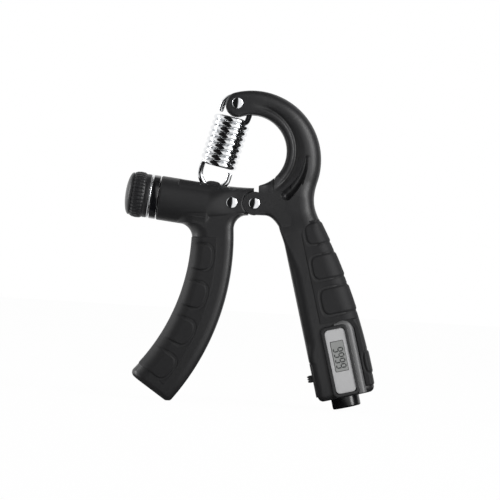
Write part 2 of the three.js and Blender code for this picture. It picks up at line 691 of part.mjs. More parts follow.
function fingerLever() {
  const rubberRoom = cut(panel(fingerGripRegion(seatGap), -20, 20), fingerCore(rubberThickness + seatGap));
  const arm = slab(armShape(), armHalfDepth, armRounding);
  const lugs = rod(lugRadius, -hingeHalfDepth, hingeHalfDepth, 'y', largeSides);
  const solid = join(inFinger(fingerHandle()), arm, fingerHingeBlock(), lugs);
  const nose = box(-20, notchWidth, -20, 20, lugRadius + 0.2, noseHeight + 1.4);
  return cut(solid, nose, inFinger(rubberRoom), ...armHollows(), ...counterHollows().map(inFinger));
}

function fingerGrip() {
  const pocket = box(counterX - 20, counterX + frameHalfWidth + 2 * seatGap, -20, boardFront,
    fingerEndZ - 6, frameTopZ + 2 * seatGap);
  return cut(overlap(fingerHandle(), panel(fingerGripRegion(0), -20, 20)), fingerCore(rubberThickness), pocket);
}

// ---------------------------------------------------------------- spring

/** Wire of the spring in its own frame: Z up the spring, the lower hook's centre at the origin. */
function springPath() {
  const bodyLength = coilTurns * coilPitch;
  const bodyFrom = (springSpan - bodyLength) / 2;
  const points = [];
  for (const turn of [-15, 20, 50, 80, 110, 140, 165]) points.push(hookPoint(-turn * degree, 0));
  const count = Math.round(coilTurns * stepsPerTurn);
  for (let i = 1; i < count; i += 1) {
    const angle = Math.PI + (i / stepsPerTurn) * 2 * Math.PI;
    const z = bodyFrom + (i / count) * bodyLength;
    points.push(new THREE.Vector3(coilRadius * Math.cos(angle), coilRadius * Math.sin(angle), z));
  }
  for (const turn of [15, 40, 70, 100, 130, 160, 195]) points.push(hookPoint(turn * degree, springSpan));
  return new THREE.CatmullRomCurve3(points, false, 'centripetal');
}

/** Point on a hook's circle, whose plane holds the spring's axis. */
const hookPoint = (angle, centreZ) =>
  new THREE.Vector3(hookRadius * Math.cos(angle), 0, centreZ + hookRadius * Math.sin(angle));

function tensionSpring() {
  const section = new THREE.Shape().absarc(0, 0, wireRadius, 0, 2 * Math.PI, false);
  const steps = Math.round(coilTurns * stepsPerTurn) + 34;
  return new THREE.ExtrudeGeometry(section, { steps, curveSegments: 3, bevelEnabled: false, extrudePath: springPath() });
}

function springRoller() {
  const inner = holeRadius(anchorPinRadius, runningGap, smallSides);
  return turned([
    [inner, -rollerHalfWidth], [rollerRadius, -rollerHalfWidth], [rollerRadius, -wireRadius - 0.2],
    [rollerGrooveRadius, -wireRadius * 0.5], [rollerGrooveRadius, wireRadius * 0.5], [rollerRadius, wireRadius + 0.2],
    [rollerRadius, rollerHalfWidth], [inner, rollerHalfWidth], [inner, -rollerHalfWidth],
  ], 'y', smallSides);
}

// ---------------------------------------------------------------- counter

function counterFrame() {
  const left = counterX - frameHalfWidth;
  const right = counterX + frameHalfWidth;
  const body = panel(roundedRectangle(left, right, frameEndZ, frameTopZ, 2.7), frameFront, frameBack);
  const recess = panel(
    roundedRectangle(left + frameRim, right - frameRim, frameEndZ + 0.9, frameTopZ - frameRim, 2.3),
    frameFront - 1, frameFront + plateThickness + 0.2);
  const opening = box(left + frameRim + 0.7, right - frameRim - 0.7, frameFront - 1, frameBack + 1,
    windowEndZ - 1.1, windowTopZ + 1.1);
  return cut(body, recess, opening);
}

function counterFaceplate() {
  const left = counterX - frameHalfWidth + frameRim + seatGap;
  const right = counterX + frameHalfWidth - frameRim - seatGap;
  const plate = panel(
    roundedRectangle(left, right, frameEndZ + 0.9 + seatGap, frameTopZ - frameRim - seatGap, 2.1),
    frameFront + 0.1, frameFront + 0.1 + plateThickness);
  const window = box(counterX - windowHalfWidth, counterX + windowHalfWidth, frameFront - 1, frameBack,
    windowEndZ, windowTopZ);
  return cut(plate, window);
}

function lcdWindow() {
  const halfWidth = frameHalfWidth - frameRim - 0.7 - seatGap;
  const front = frameFront + 0.1 + plateThickness + 0.2;
  return box(counterX - halfWidth, counterX + halfWidth, front, front + glassThickness,
    windowEndZ - 1.1 + seatGap, windowTopZ + 1.1 - seatGap);
}

function circuitBoard() {
  const halfWidth = frameHalfWidth - 0.4 - seatGap;
  return box(counterX - halfWidth, counterX + halfWidth, boardFront, boardFront + boardThickness, boardEndZ, boardTopZ);
}

function buttonCell() {
  const front = boardFront + boardThickness + seatGap;
  return rod(cellRadius, front, front + cellThickness, 'y').translate(counterX, 0, cellZ);
}

/** Switch that the reset button's stem presses, standing on the board. */
function resetSwitch() {
  const top = boardEndZ + 3.4;
  return box(resetX - 2.8, resetX + 2.8, boardFront + boardThickness + seatGap, 2, boardEndZ + 0.9, top);
}

function resetButton() {
  const bottom = fingerEndZ - resetProud;
  const top = fingerEndZ + resetInside;
  const stemTop = boardEndZ + 0.9 - resetTravel - seatGap;
  return turned([
    [0, bottom], [resetRadius - resetChamfer, bottom], [resetRadius, bottom + resetChamfer], [resetRadius, top],
    [resetStemRadius, top], [resetStemRadius, stemTop], [0, stemTop],
  ], 'z').translate(resetX, 0, 0);
}

// ---------------------------------------------------------------- side cover and trigger

function sideCover() {
  const plate = box(fingerInnerX, coverBack, -coverHalfWidth, coverHalfWidth, coverEndZ, coverTopZ);
  const window = box(fingerInnerX - 3, coverBack + 3, -triggerHalfWidth - seatGap, triggerHalfWidth + seatGap,
    triggerZ - triggerHalfLength - seatGap, triggerZ + triggerHalfLength + seatGap);
  const screwHoles = coverScrewPlaces().flatMap((z) => [
    rod(1.1, 0, 40, 'x', 12).translate(0, 0, z),
    rod(screwHeadRadius + seatGap, 0, fingerInnerX + 1.1, 'x', 12).translate(0, 0, z),
  ]);
  return cut(plate, window, ...screwHoles);
}

function coverScrew(z) {
  return turned([
    [0, fingerInnerX + 0.1], [screwHeadRadius, fingerInnerX + 0.1], [screwHeadRadius, fingerInnerX + 0.95],
    [0.8, fingerInnerX + 0.95], [0.8, fingerInnerX + coverScrewLength], [0, fingerInnerX + coverScrewLength + 0.4],
  ], 'x', 12).translate(0, 0, z);
}

/** Toothed push piece with a flange behind the cover. */
function countTrigger() {
  const outer = fingerInnerX - triggerProud;
  const pitch = (2 * triggerHalfLength) / triggerTeeth;
  const shape = new THREE.Shape();
  shape.moveTo(coverBack + seatGap + 0.2, triggerZ - triggerHalfLength);
  shape.lineTo(coverBack + seatGap + 0.2, triggerZ + triggerHalfLength);
  for (let tooth = 0; tooth < triggerTeeth; tooth += 1) {
    const z = triggerZ + triggerHalfLength - tooth * pitch;
    shape.lineTo(outer + toothDepth, z);
    shape.lineTo(outer, z - pitch * 0.35);
    shape.lineTo(outer, z - pitch * 0.65);
  }
  shape.lineTo(outer + toothDepth, triggerZ - triggerHalfLength);
  const body = panel(shape, -triggerHalfWidth, triggerHalfWidth);
  const flange = box(coverBack + seatGap, coverBack + seatGap + 1.5, -4.3, 4.3, triggerZ - 3.1, triggerZ + 3.1);
  return join(body, flange);
}

function triggerSwitch() {
  return box(switchBackX, switchBackX + switchDepth, -4.4, 4.4, triggerZ - 3, triggerZ + 3);
}

// ---------------------------------------------------------------- assembly

function palmBody() {
  return [
    piece('palm_lever', palmLever(), blackPlastic),
    piece('palm_grip', palmGrip(), rubber),
    piece('hinge_tongue', hingeTongue(), steel),
    piece('pivot_bushing', pivotBushing(), brass),
    piece('front_hinge_washer', hingeWasher(-1), nylon),
    piece('rear_hinge_washer', hingeWasher(1), nylon),
    rivetAt('cross_pin', pinRadius, hingeHalfDepth, crossPinX, crossPinZ),
    rivetAt('pivot_pin', pinRadius, hingeHalfDepth, 0, 0),
  ];
}

function rivetAt(name, radius, halfDepth, x, z) {
  const pin = piece(name, rivet(radius, halfDepth), chrome);
  pin.position.set(x, 0, z);
  return pin;
}

function tensionAdjuster() {
  const group = new THREE.Group();
  group.position.copy(barrelFoot);
  group.rotation.y = barrelTilt;
  group.add(
    piece('barrel_bush', barrelBush(), brass),
    piece('barrel_collar', barrelCollar(), glossPlastic),
    piece('thrust_washer', thrustWasher(), steel),
    piece('lead_screw', leadScrew(), steel),
    piece('knob_ring', knobRing(), chrome),
    piece('tension_knob', tensionKnob(), blackPlastic),
    piece('knob_nut', knobNut(), steel),
    piece('knob_end_cap', knobEndCap(), glossPlastic),
    piece('tension_slider', tensionSlider(), blackPlastic),
    piece('slider_nut', sliderNut(), brass),
  );
  return group;
}

function springGroup() {
  const group = new THREE.Group();
  group.position.copy(lowerLoop);
  group.rotation.y = springTilt;
  group.add(piece('tension_spring', tensionSpring(), chrome));
  return group;
}

function counterGroup() {
  const group = new THREE.Group();
  group.rotation.y = -fingerTilt;
  const [upper, lower] = coverScrewPlaces();
  group.add(
    piece('finger_grip', fingerGrip(), rubber),
    piece('counter_frame', counterFrame(), glossPlastic),
    piece('counter_faceplate', counterFaceplate(), greyPlate),
    piece('lcd_window', lcdWindow(), displayGlass),
    piece('counter_circuit_board', circuitBoard(), boardGreen),
    piece('button_cell', buttonCell(), steel),
    piece('reset_switch', resetSwitch(), blackPlastic),
    piece('reset_button', resetButton(), glossPlastic),
    piece('side_cover', sideCover(), blackPlastic),
    piece('upper_cover_screw', coverScrew(upper), steel),
    piece('lower_cover_screw', coverScrew(lower), steel),
    piece('count_trigger', countTrigger(), blackPlastic),
    piece('trigger_switch', triggerSwitch(), blackPlastic),
  );
  return group;
}

function fingerBody() {
  const roller = piece('spring_roller', springRoller(), steel);
  roller.position.copy(anchor);
  return [
    piece('finger_lever', fingerLever(), blackPlastic),
    rivetAt('anchor_pin', anchorPinRadius, armHalfDepth, anchor.x, anchor.z),
    roller,
  ];
}

/** Turn about Y that brings the palm lever's lower corner and the reset button to one height. */
function standingLean() {
  const palmFoot = palmHandleShape(0).getPoints().reduce((low, point) => (point.y < low.y ? point : low));
  const resetFoot = new THREE.Vector3(resetX - resetRadius + resetChamfer, 0, fingerEndZ - resetProud);
  resetFoot.applyMatrix4(fingerFrame);
  return Math.atan2(palmFoot.y - resetFoot.z, resetFoot.x - palmFoot.x);
}

const assembly = new THREE.Group();
assembly.add(...palmBody(), tensionAdjuster(), springGroup(), ...fingerBody(), counterGroup());
assembly.rotation.y = -standingLean();
assembly.name = 'assembly';

const model = new THREE.Group();
model.add(assembly);
const bounds = new THREE.Box3().setFromObject(model, true);
const middle = bounds.getCenter(new THREE.Vector3());
assembly.position.set(-middle.x, -middle.y, -bounds.min.z);

export default model;
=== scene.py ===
"""Adjustable hand grip strengthener with a squeeze counter, dressed for rendering.

Sizes are millimetres in the pivot frame: origin on the hinge pin, X to the right, Z up when the object is
seen from its front, Y to the back. The object leans a little in the world, so that both its feet stand.
"""

import json
import logging
import math
from dataclasses import dataclass, field
from enum import Enum

import bpy
import numpy as np
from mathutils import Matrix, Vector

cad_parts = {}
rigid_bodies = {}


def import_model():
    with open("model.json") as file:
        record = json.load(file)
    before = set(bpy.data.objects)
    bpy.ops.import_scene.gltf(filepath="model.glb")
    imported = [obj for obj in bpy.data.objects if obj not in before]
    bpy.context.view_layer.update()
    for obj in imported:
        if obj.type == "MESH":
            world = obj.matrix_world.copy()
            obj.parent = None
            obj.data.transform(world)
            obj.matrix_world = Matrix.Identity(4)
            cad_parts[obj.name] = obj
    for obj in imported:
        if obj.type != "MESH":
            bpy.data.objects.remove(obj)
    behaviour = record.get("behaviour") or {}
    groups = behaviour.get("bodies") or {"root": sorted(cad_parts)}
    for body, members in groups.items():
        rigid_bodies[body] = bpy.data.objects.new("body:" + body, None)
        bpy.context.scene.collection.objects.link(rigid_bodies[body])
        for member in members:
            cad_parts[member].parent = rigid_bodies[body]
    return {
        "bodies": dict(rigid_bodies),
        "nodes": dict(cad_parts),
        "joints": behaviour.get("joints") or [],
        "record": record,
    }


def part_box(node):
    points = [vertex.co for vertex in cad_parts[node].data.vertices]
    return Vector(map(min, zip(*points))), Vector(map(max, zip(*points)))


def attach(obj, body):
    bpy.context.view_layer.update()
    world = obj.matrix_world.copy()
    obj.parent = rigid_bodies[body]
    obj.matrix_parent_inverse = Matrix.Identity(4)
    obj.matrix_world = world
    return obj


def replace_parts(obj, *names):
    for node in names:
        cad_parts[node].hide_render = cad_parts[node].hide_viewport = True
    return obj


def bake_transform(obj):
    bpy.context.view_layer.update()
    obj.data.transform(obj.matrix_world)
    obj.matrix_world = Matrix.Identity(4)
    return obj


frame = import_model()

log = logging.getLogger("grip")
MM = 0.001
Array = np.ndarray
Pair = tuple[float, float]
Triple = tuple[float, float, float]
Piece, Material = bpy.types.Object, bpy.types.Material
Node, Socket, Tree = bpy.types.Node, bpy.types.NodeSocket, bpy.types.NodeTree


# ---------------------------------------------------------------- frames and curves


@dataclass(frozen=True)
class Axes:
    """A frame in the object's front plane: its origin and its turn about Y, which takes +X down."""

    x: float = 0.0
    z: float = 0.0
    turn: float = 0.0

    def out(self, points: Array) -> Array:
        """Points of this frame in its parent: turned about Y, then moved."""
        c, s = math.cos(self.turn), math.sin(self.turn)
        x, y, z = points[..., 0], points[..., 1], points[..., 2]
        return grid(x * c + z * s + self.x, y, z * c - x * s + self.z)

    def back(self, points: Array) -> tuple[Array, Array]:
        """Where points of the parent lie along this frame's own X and Z."""
        c, s = math.cos(self.turn), math.sin(self.turn)
        x, z = points[..., 0] - self.x, points[..., 2] - self.z
        return x * c - z * s, x * s + z * c


def smooth(value: Array) -> Array:
    """Smooth step: 0 below 0, 1 above 1, and 3t^2 - 2t^3 between."""
    t = np.clip(value, 0.0, 1.0)
    return t * t * (3.0 - 2.0 * t)


def grid(*columns: Array) -> Array:
    """The columns, spread to one shape, as the last axis of an array."""
    return np.stack(np.broadcast_arrays(*columns), axis=-1)


def valley(distance: Array, width: float) -> Array:
    """Bell curve exp(-(d / w)^2), 1 at distance 0."""
    return np.exp(-((distance / width) ** 2))


def bezier(points: list[Pair], t: Array) -> Array:
    """Cubic curve of four control points, the Bernstein sum of each point times its weight."""
    p = np.array(points, float)
    weights = grid((1 - t) ** 3, 3 * t * (1 - t) ** 2, 3 * t**2 * (1 - t), t**3)
    return weights @ p


def ray_to_circle(origin: Array, directions: Array, centre: Array, radius: float) -> Array:
    """Points where rays from inside a circle meet it: the positive root of |o + t d - c| = r."""
    offset = origin - centre
    along = directions @ offset
    reach = -along + np.sqrt(along**2 - offset @ offset + radius**2)
    return origin + directions * reach[:, None]


# ---------------------------------------------------------------- sizes shared by the sub-assemblies


@dataclass(frozen=True)
class Hinge:
    """Sizes around the pivot that both levers share."""

    half_depth: float = 10.0
    lug: float = 6.1
    seat_gap: float = 0.3
    pin_head: float = 2.9
    cross_pin: Pair = (-11.7, 0.4)
    notch: float = 2.2


@dataclass(frozen=True)
class Arch:
    """The arm's round opening, its outer arc and its rounded tip, which is tangent to both."""

    loop: Pair = (-1.8, 27.4)
    loop_radius: float = 18.6
    outer: Pair = (-1.2, 22.7)
    outer_radius: float = 35.9
    tip_angle: float = math.radians(106)
    anchor_rise: float = 0.7

    def tip_radius(self) -> float:
        """Radius of the circle that touches the opening from outside and the outer arc from inside."""
        dx, dz = self.loop[0] - self.outer[0], self.loop[1] - self.outer[1]
        along = dx * math.cos(self.tip_angle) + dz * math.sin(self.tip_angle)
        rest = self.outer_radius**2 - dx * dx - dz * dz - self.loop_radius**2 - 2 * self.loop_radius * along
        return rest / (2 * (along + self.loop_radius + self.outer_radius))

    def tip(self) -> Array:
        """Centre of the rounded tip."""
        reach = self.loop_radius + self.tip_radius()
        x, z = self.loop
        return np.array([x + reach * math.cos(self.tip_angle), z + reach * math.sin(self.tip_angle)])

    def anchor(self) -> Array:
        """Centre of the pin that holds the spring."""
        return self.tip() + np.array([0.0, self.anchor_rise])


HINGE = Hinge()
ARCH = Arch()
BARREL = Axes(-4.7 * math.sin(math.radians(9)), -4.7 * math.cos(math.radians(9)), math.radians(9))
FINGER = Axes(turn=-math.radians(11.75))


def standing() -> Axes:
    """Where the pivot frame stands in the world, read from the two pins of the frame."""
    middle = lambda node: (np.array(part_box(node)[0]) + np.array(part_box(node)[1])) / 2 / MM
    pivot, anchor = middle("pivot_pin"), middle("anchor_pin")
    seen, drawn = anchor - pivot, ARCH.anchor()
    lean = math.atan2(seen[2], seen[0]) - math.atan2(drawn[1], drawn[0])
    return Axes(float(pivot[0]), float(pivot[2]), -lean)


STAND = standing()
SIDEWAYS = (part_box("pivot_pin")[0][1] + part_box("pivot_pin")[1][1]) / 2 / MM


# ---------------------------------------------------------------- surfaces


@dataclass
class Surface:
    """Vertices in the pivot frame with quads, triangles and named values at the vertices."""

    points: Array
    quads: Array
    tris: Array
    values: dict[str, Array] = field(default_factory=dict)


def net(points: Array, values: dict[str, Array] | None = None, loop: bool = False) -> Surface:
    """A grid of points joined by quads; each row closes on itself, and the two ends close on their middles.

    Args:
        points: rows x columns x 3 grid.
        values: named rows x columns arrays.
        loop: whether the last row joins the first one, so that there are no ends.

    Returns:
        The surface, with faces turned outwards by the sign of its volume.
    """
    rows, columns = points.shape[:2]
    index = np.arange(rows * columns).reshape(rows, columns)
    if loop:
        index = np.vstack([index, index[:1]])
    left, right = index, np.roll(index, -1, axis=1)
    quads = grid(left[:-1], right[:-1], right[1:], left[1:]).reshape(-1, 4)
    flat = points.reshape(-1, 3)
    tris = np.zeros((0, 3), int)
    names = {k: v.reshape(-1) for k, v in (values or {}).items()}
    if not loop:
        n = len(flat)
        flat = np.vstack([flat, points[0].mean(axis=0), points[-1].mean(axis=0)])
        start = grid(right[0], left[0], np.full(columns, n))
        end = grid(left[-1], right[-1], np.full(columns, n + 1))
        tris = np.vstack([start, end])
        names = {
            k: np.concatenate([v, [v[:columns].mean(), v[-columns:].mean()]])
            for k, v in names.items()
        }
    a, b, c, d = (flat[quads[:, i]] for i in range(4))
    volume = np.einsum("ij,ij->", a, np.cross(b, c)) + np.einsum("ij,ij->", a, np.cross(c, d))
    p, q, r = (flat[tris[:, i]] for i in range(3))
    volume += np.einsum("ij,ij->", p, np.cross(q, r))
    if volume < 0:
        quads, tris = quads[:, ::-1], tris[:, ::-1]
    return Surface(flat, quads, tris, names)


def together(*parts: Surface) -> Surface:
    """Several surfaces as one, each keeping its own vertices."""
    starts = np.cumsum([0] + [len(p.points) for p in parts[:-1]])
    names = {k for p in parts for k in p.values}
    return Surface(
        np.vstack([p.points for p in parts]),
        np.vstack([p.quads + s for p, s in zip(parts, starts)]),
        np.vstack([p.tris + s for p, s in zip(parts, starts)]),
        {k: np.concatenate([p.values.get(k, np.zeros(len(p.points))) for p in parts]) for k in names},
    )


def into(axes: Axes, surface: Surface) -> Surface:
    """The surface moved from its own axes into the pivot frame."""
    return Surface(axes.out(surface.points), surface.quads, surface.tris, surface.values)


def put(name: str, surface: Surface, finish: Material, sharp: float = 38.0) -> Piece:
    """Makes the surface an object of the scene, in world metres, with smooth shading but for sharp edges.

    Args:
        name: the piece's name.
        surface: what it is made of, in the pivot frame.
        finish: its material.
        sharp: edges that turn by more than these degrees stay crisp.

    Returns:
        The object, at the origin.
    """
    points = STAND.out(surface.points)
    points[:, 1] += SIDEWAYS
    mesh = bpy.data.meshes.new(name)
    corners = np.concatenate([surface.quads.reshape(-1), surface.tris.reshape(-1)]).astype(np.int32)
    sizes = np.concatenate([np.full(len(surface.quads), 4), np.full(len(surface.tris), 3)])
    starts = np.concatenate([[0], np.cumsum(sizes)[:-1]]).astype(np.int32)
    mesh.vertices.add(len(points))
    mesh.vertices.foreach_set("co", (points * MM).astype(np.float32).reshape(-1))
    mesh.loops.add(len(corners))
    mesh.loops.foreach_set("vertex_index", corners)
    mesh.polygons.add(len(sizes))
    mesh.polygons.foreach_set("loop_start", starts)
    for key, value in surface.values.items():
        layer = mesh.attributes.new(key, "FLOAT", "POINT")
        layer.data.foreach_set("value", value.astype(np.float32))
    mesh.update(calc_edges=True)
    mesh.validate()
    mesh.shade_smooth()
    mesh.set_sharp_from_angle(angle=math.radians(sharp))
    mesh.materials.append(finish)
    piece = bpy.data.objects.new(name, mesh)
    bpy.context.scene.collection.objects.link(piece)
    log.info("%s: %d vertices", name, len(points))
    return piece


@dataclass(frozen=True)
class Section:
    """Rounded rectangle that is carried along a path: steps over a face, a corner and a side."""

    face: int = 56
    corner: int = 8
    side: int = 14

    def factors(self) -> Array:
        """Columns a, b, c, p, q, r: across = a W + b left + c right, depth = p D + q left + r right."""
        t = np.arange(self.face) / self.face
        u = np.arange(self.corner) / self.corner * math.pi / 2
        v = np.arange(self.side) / self.side
        sin, cos = np.sin(u), np.cos(u)
        row = lambda like, *columns: grid(like, *columns)[..., 1:].astype(float)
        return np.vstack([
            row(t, t, 1 - t, -t, -1, 0, 0),
            row(u, 1, 0, sin - 1, -1, 0, 1 - cos),
            row(v, 1, 0, 0, 2 * v - 1, 0, 1 - 2 * v),
            row(u, 1, 0, cos - 1, 1, 0, sin - 1),
            row(t, 1 - t, t, t - 1, 1, 0, 0),
            row(u, 0, 1 - sin, 0, 1, cos - 1, 0),
            row(v, 0, 0, 0, 1 - 2 * v, 2 * v - 1, 0),
            row(u, 0, 1 - cos, 0, -1, 1 - sin, 0),
        ])


LEAST_ROUND = 0.3
ON_AXIS = 0.02


@dataclass
class Path:
    """Stations of a bar seen from the front: two edges, half depth, each edge's rounding (across, deep)."""

    left: Array
    right: Array
    depth: Array
    left_round: Array
    right_round: Array

    def skin(self, section: Section) -> Array:
        """The section carried along the stations, as a grid of points."""
        across = self.right - self.left
        width = np.linalg.norm(across, axis=1)
        unit = across / np.maximum(width, 1e-6)[:, None]
        fit = lambda size, room: np.minimum(size, room * 0.49)
        rl, rr = fit(self.left_round[:, 0], width), fit(self.right_round[:, 0], width)
        dl, dr = fit(self.left_round[:, 1], 2 * self.depth), fit(self.right_round[:, 1], 2 * self.depth)
        a, b, c, p, q, r = section.factors().T
        s = np.outer(width, a) + np.outer(rl, b) + np.outer(rr, c)
        y = np.outer(self.depth, p) + np.outer(dl, q) + np.outer(dr, r)
        flat = self.left[:, None, :] + unit[:, None, :] * s[..., None]
        return grid(flat[..., 0], y, flat[..., 1])

    def ended(self, radius: float, last: bool = True, steps: int = 7, cap: int = 7) -> "Path":
        """The path with a rounded, closed end: a quarter circle inwards, then a flat cap to its middle.

        Args:
            radius: of the rounding.
            last: whether it is the end of the path or its start.
            steps: rings of the rounding.
            cap: rings of the cap.

        Returns:
            A longer path; the rounding goes on past the old end by its radius.
        """
        at, before = (-1, -2) if last else (0, 1)
        ahead = (self.left[at] + self.right[at] - self.left[before] - self.right[before]) / 2
        side = self.right[at] - self.left[at]
        side = side / np.linalg.norm(side)
        ahead = ahead - side * (ahead @ side)
        ahead = ahead / np.linalg.norm(ahead)
        turn = np.linspace(0, math.pi / 2, steps + 1)[1:]
        on, inwards = radius * np.sin(turn), radius * (1 - np.cos(turn))
        left = self.left[at] + ahead * on[:, None] + side * inwards[:, None]
        right = self.right[at] + ahead * on[:, None] - side * inwards[:, None]
        depth = self.depth[at] - inwards
        shrink = (1 - np.linspace(0, 1, cap + 1)[1:]) * 0.999 + 0.001
        middle = (left[-1] + right[-1]) / 2
        left = np.vstack([left, middle + (left[-1] - middle) * shrink[:, None]])
        right = np.vstack([right, middle + (right[-1] - middle) * shrink[:, None]])
        depth = np.concatenate([depth, depth[-1] * shrink])
        keep = np.concatenate([np.ones(steps), shrink])[:, None]
        inset = np.concatenate([inwards, np.full(cap, inwards[-1])])[:, None]
        left_round = np.maximum(self.left_round[at] - inset, LEAST_ROUND) * keep
        right_round = np.maximum(self.right_round[at] - inset, LEAST_ROUND) * keep

        def join(old: Array, new: Array) -> Array:
            """The new stations on the end that is being closed."""
            return np.concatenate([old, new] if last else [new[::-1], old])

        return Path(
            join(self.left, left),
            join(self.right, right),
            join(self.depth, depth),
            join(self.left_round, left_round),
            join(self.right_round, right_round),
        )

    def closed(self, radius: float) -> "Path":
        """The path with both its ends rounded and closed, in few rings."""
        return self.ended(radius, steps=4, cap=5).ended(radius, last=False, steps=4, cap=5)


def turned(
    profile: list[Pair],
    around: int,
    axis: str,
    ripple: Array | None = None,
    bore: bool = False,
) -> Surface:
    """A profile of (along, radius) turned round an axis.

    Args:
        profile: its points, from end to end.
        around: steps round the axis.
        axis: "x", "y" or "z".
        ripple: rows x around array that is added to the radius.
        bore: whether the profile is a closed line clear of the axis, which leaves a hole.

    Returns:
        The closed surface.
    """
    p = np.array(profile, float)
    angle = np.arange(around) / around * 2 * math.pi
    radius = np.repeat(p[:, 1:2], around, axis=1) + (0 if ripple is None else ripple)
    a, b = radius * np.cos(angle), radius * np.sin(angle)
    along = np.repeat(p[:, :1], around, axis=1)
    order = {"x": (along, a, b), "y": (a, along, b), "z": (a, b, along)}[axis]
    return net(np.stack(order, axis=-1), loop=bore)


def rounded(profile: list[Pair], radius: float, steps: int = 4) -> list[Pair]:
    """The profile with each inner corner replaced by a small curve, quadratic between its two cut points."""
    p = np.array(profile, float)
    out = [tuple(p[0])]
    for before, here, after in zip(p[:-2], p[1:-1], p[2:]):
        cut = min(radius, 0.45 * np.linalg.norm(here - before), 0.45 * np.linalg.norm(after - here))
        start = here + (before - here) / np.linalg.norm(before - here) * cut
        end = here + (after - here) / np.linalg.norm(after - here) * cut
        for t in np.linspace(0, 1, steps + 1):
            out.append(tuple((1 - t) ** 2 * start + 2 * t * (1 - t) * here + t * t * end))
    return out + [tuple(p[-1])]


# ---------------------------------------------------------------- palm lever


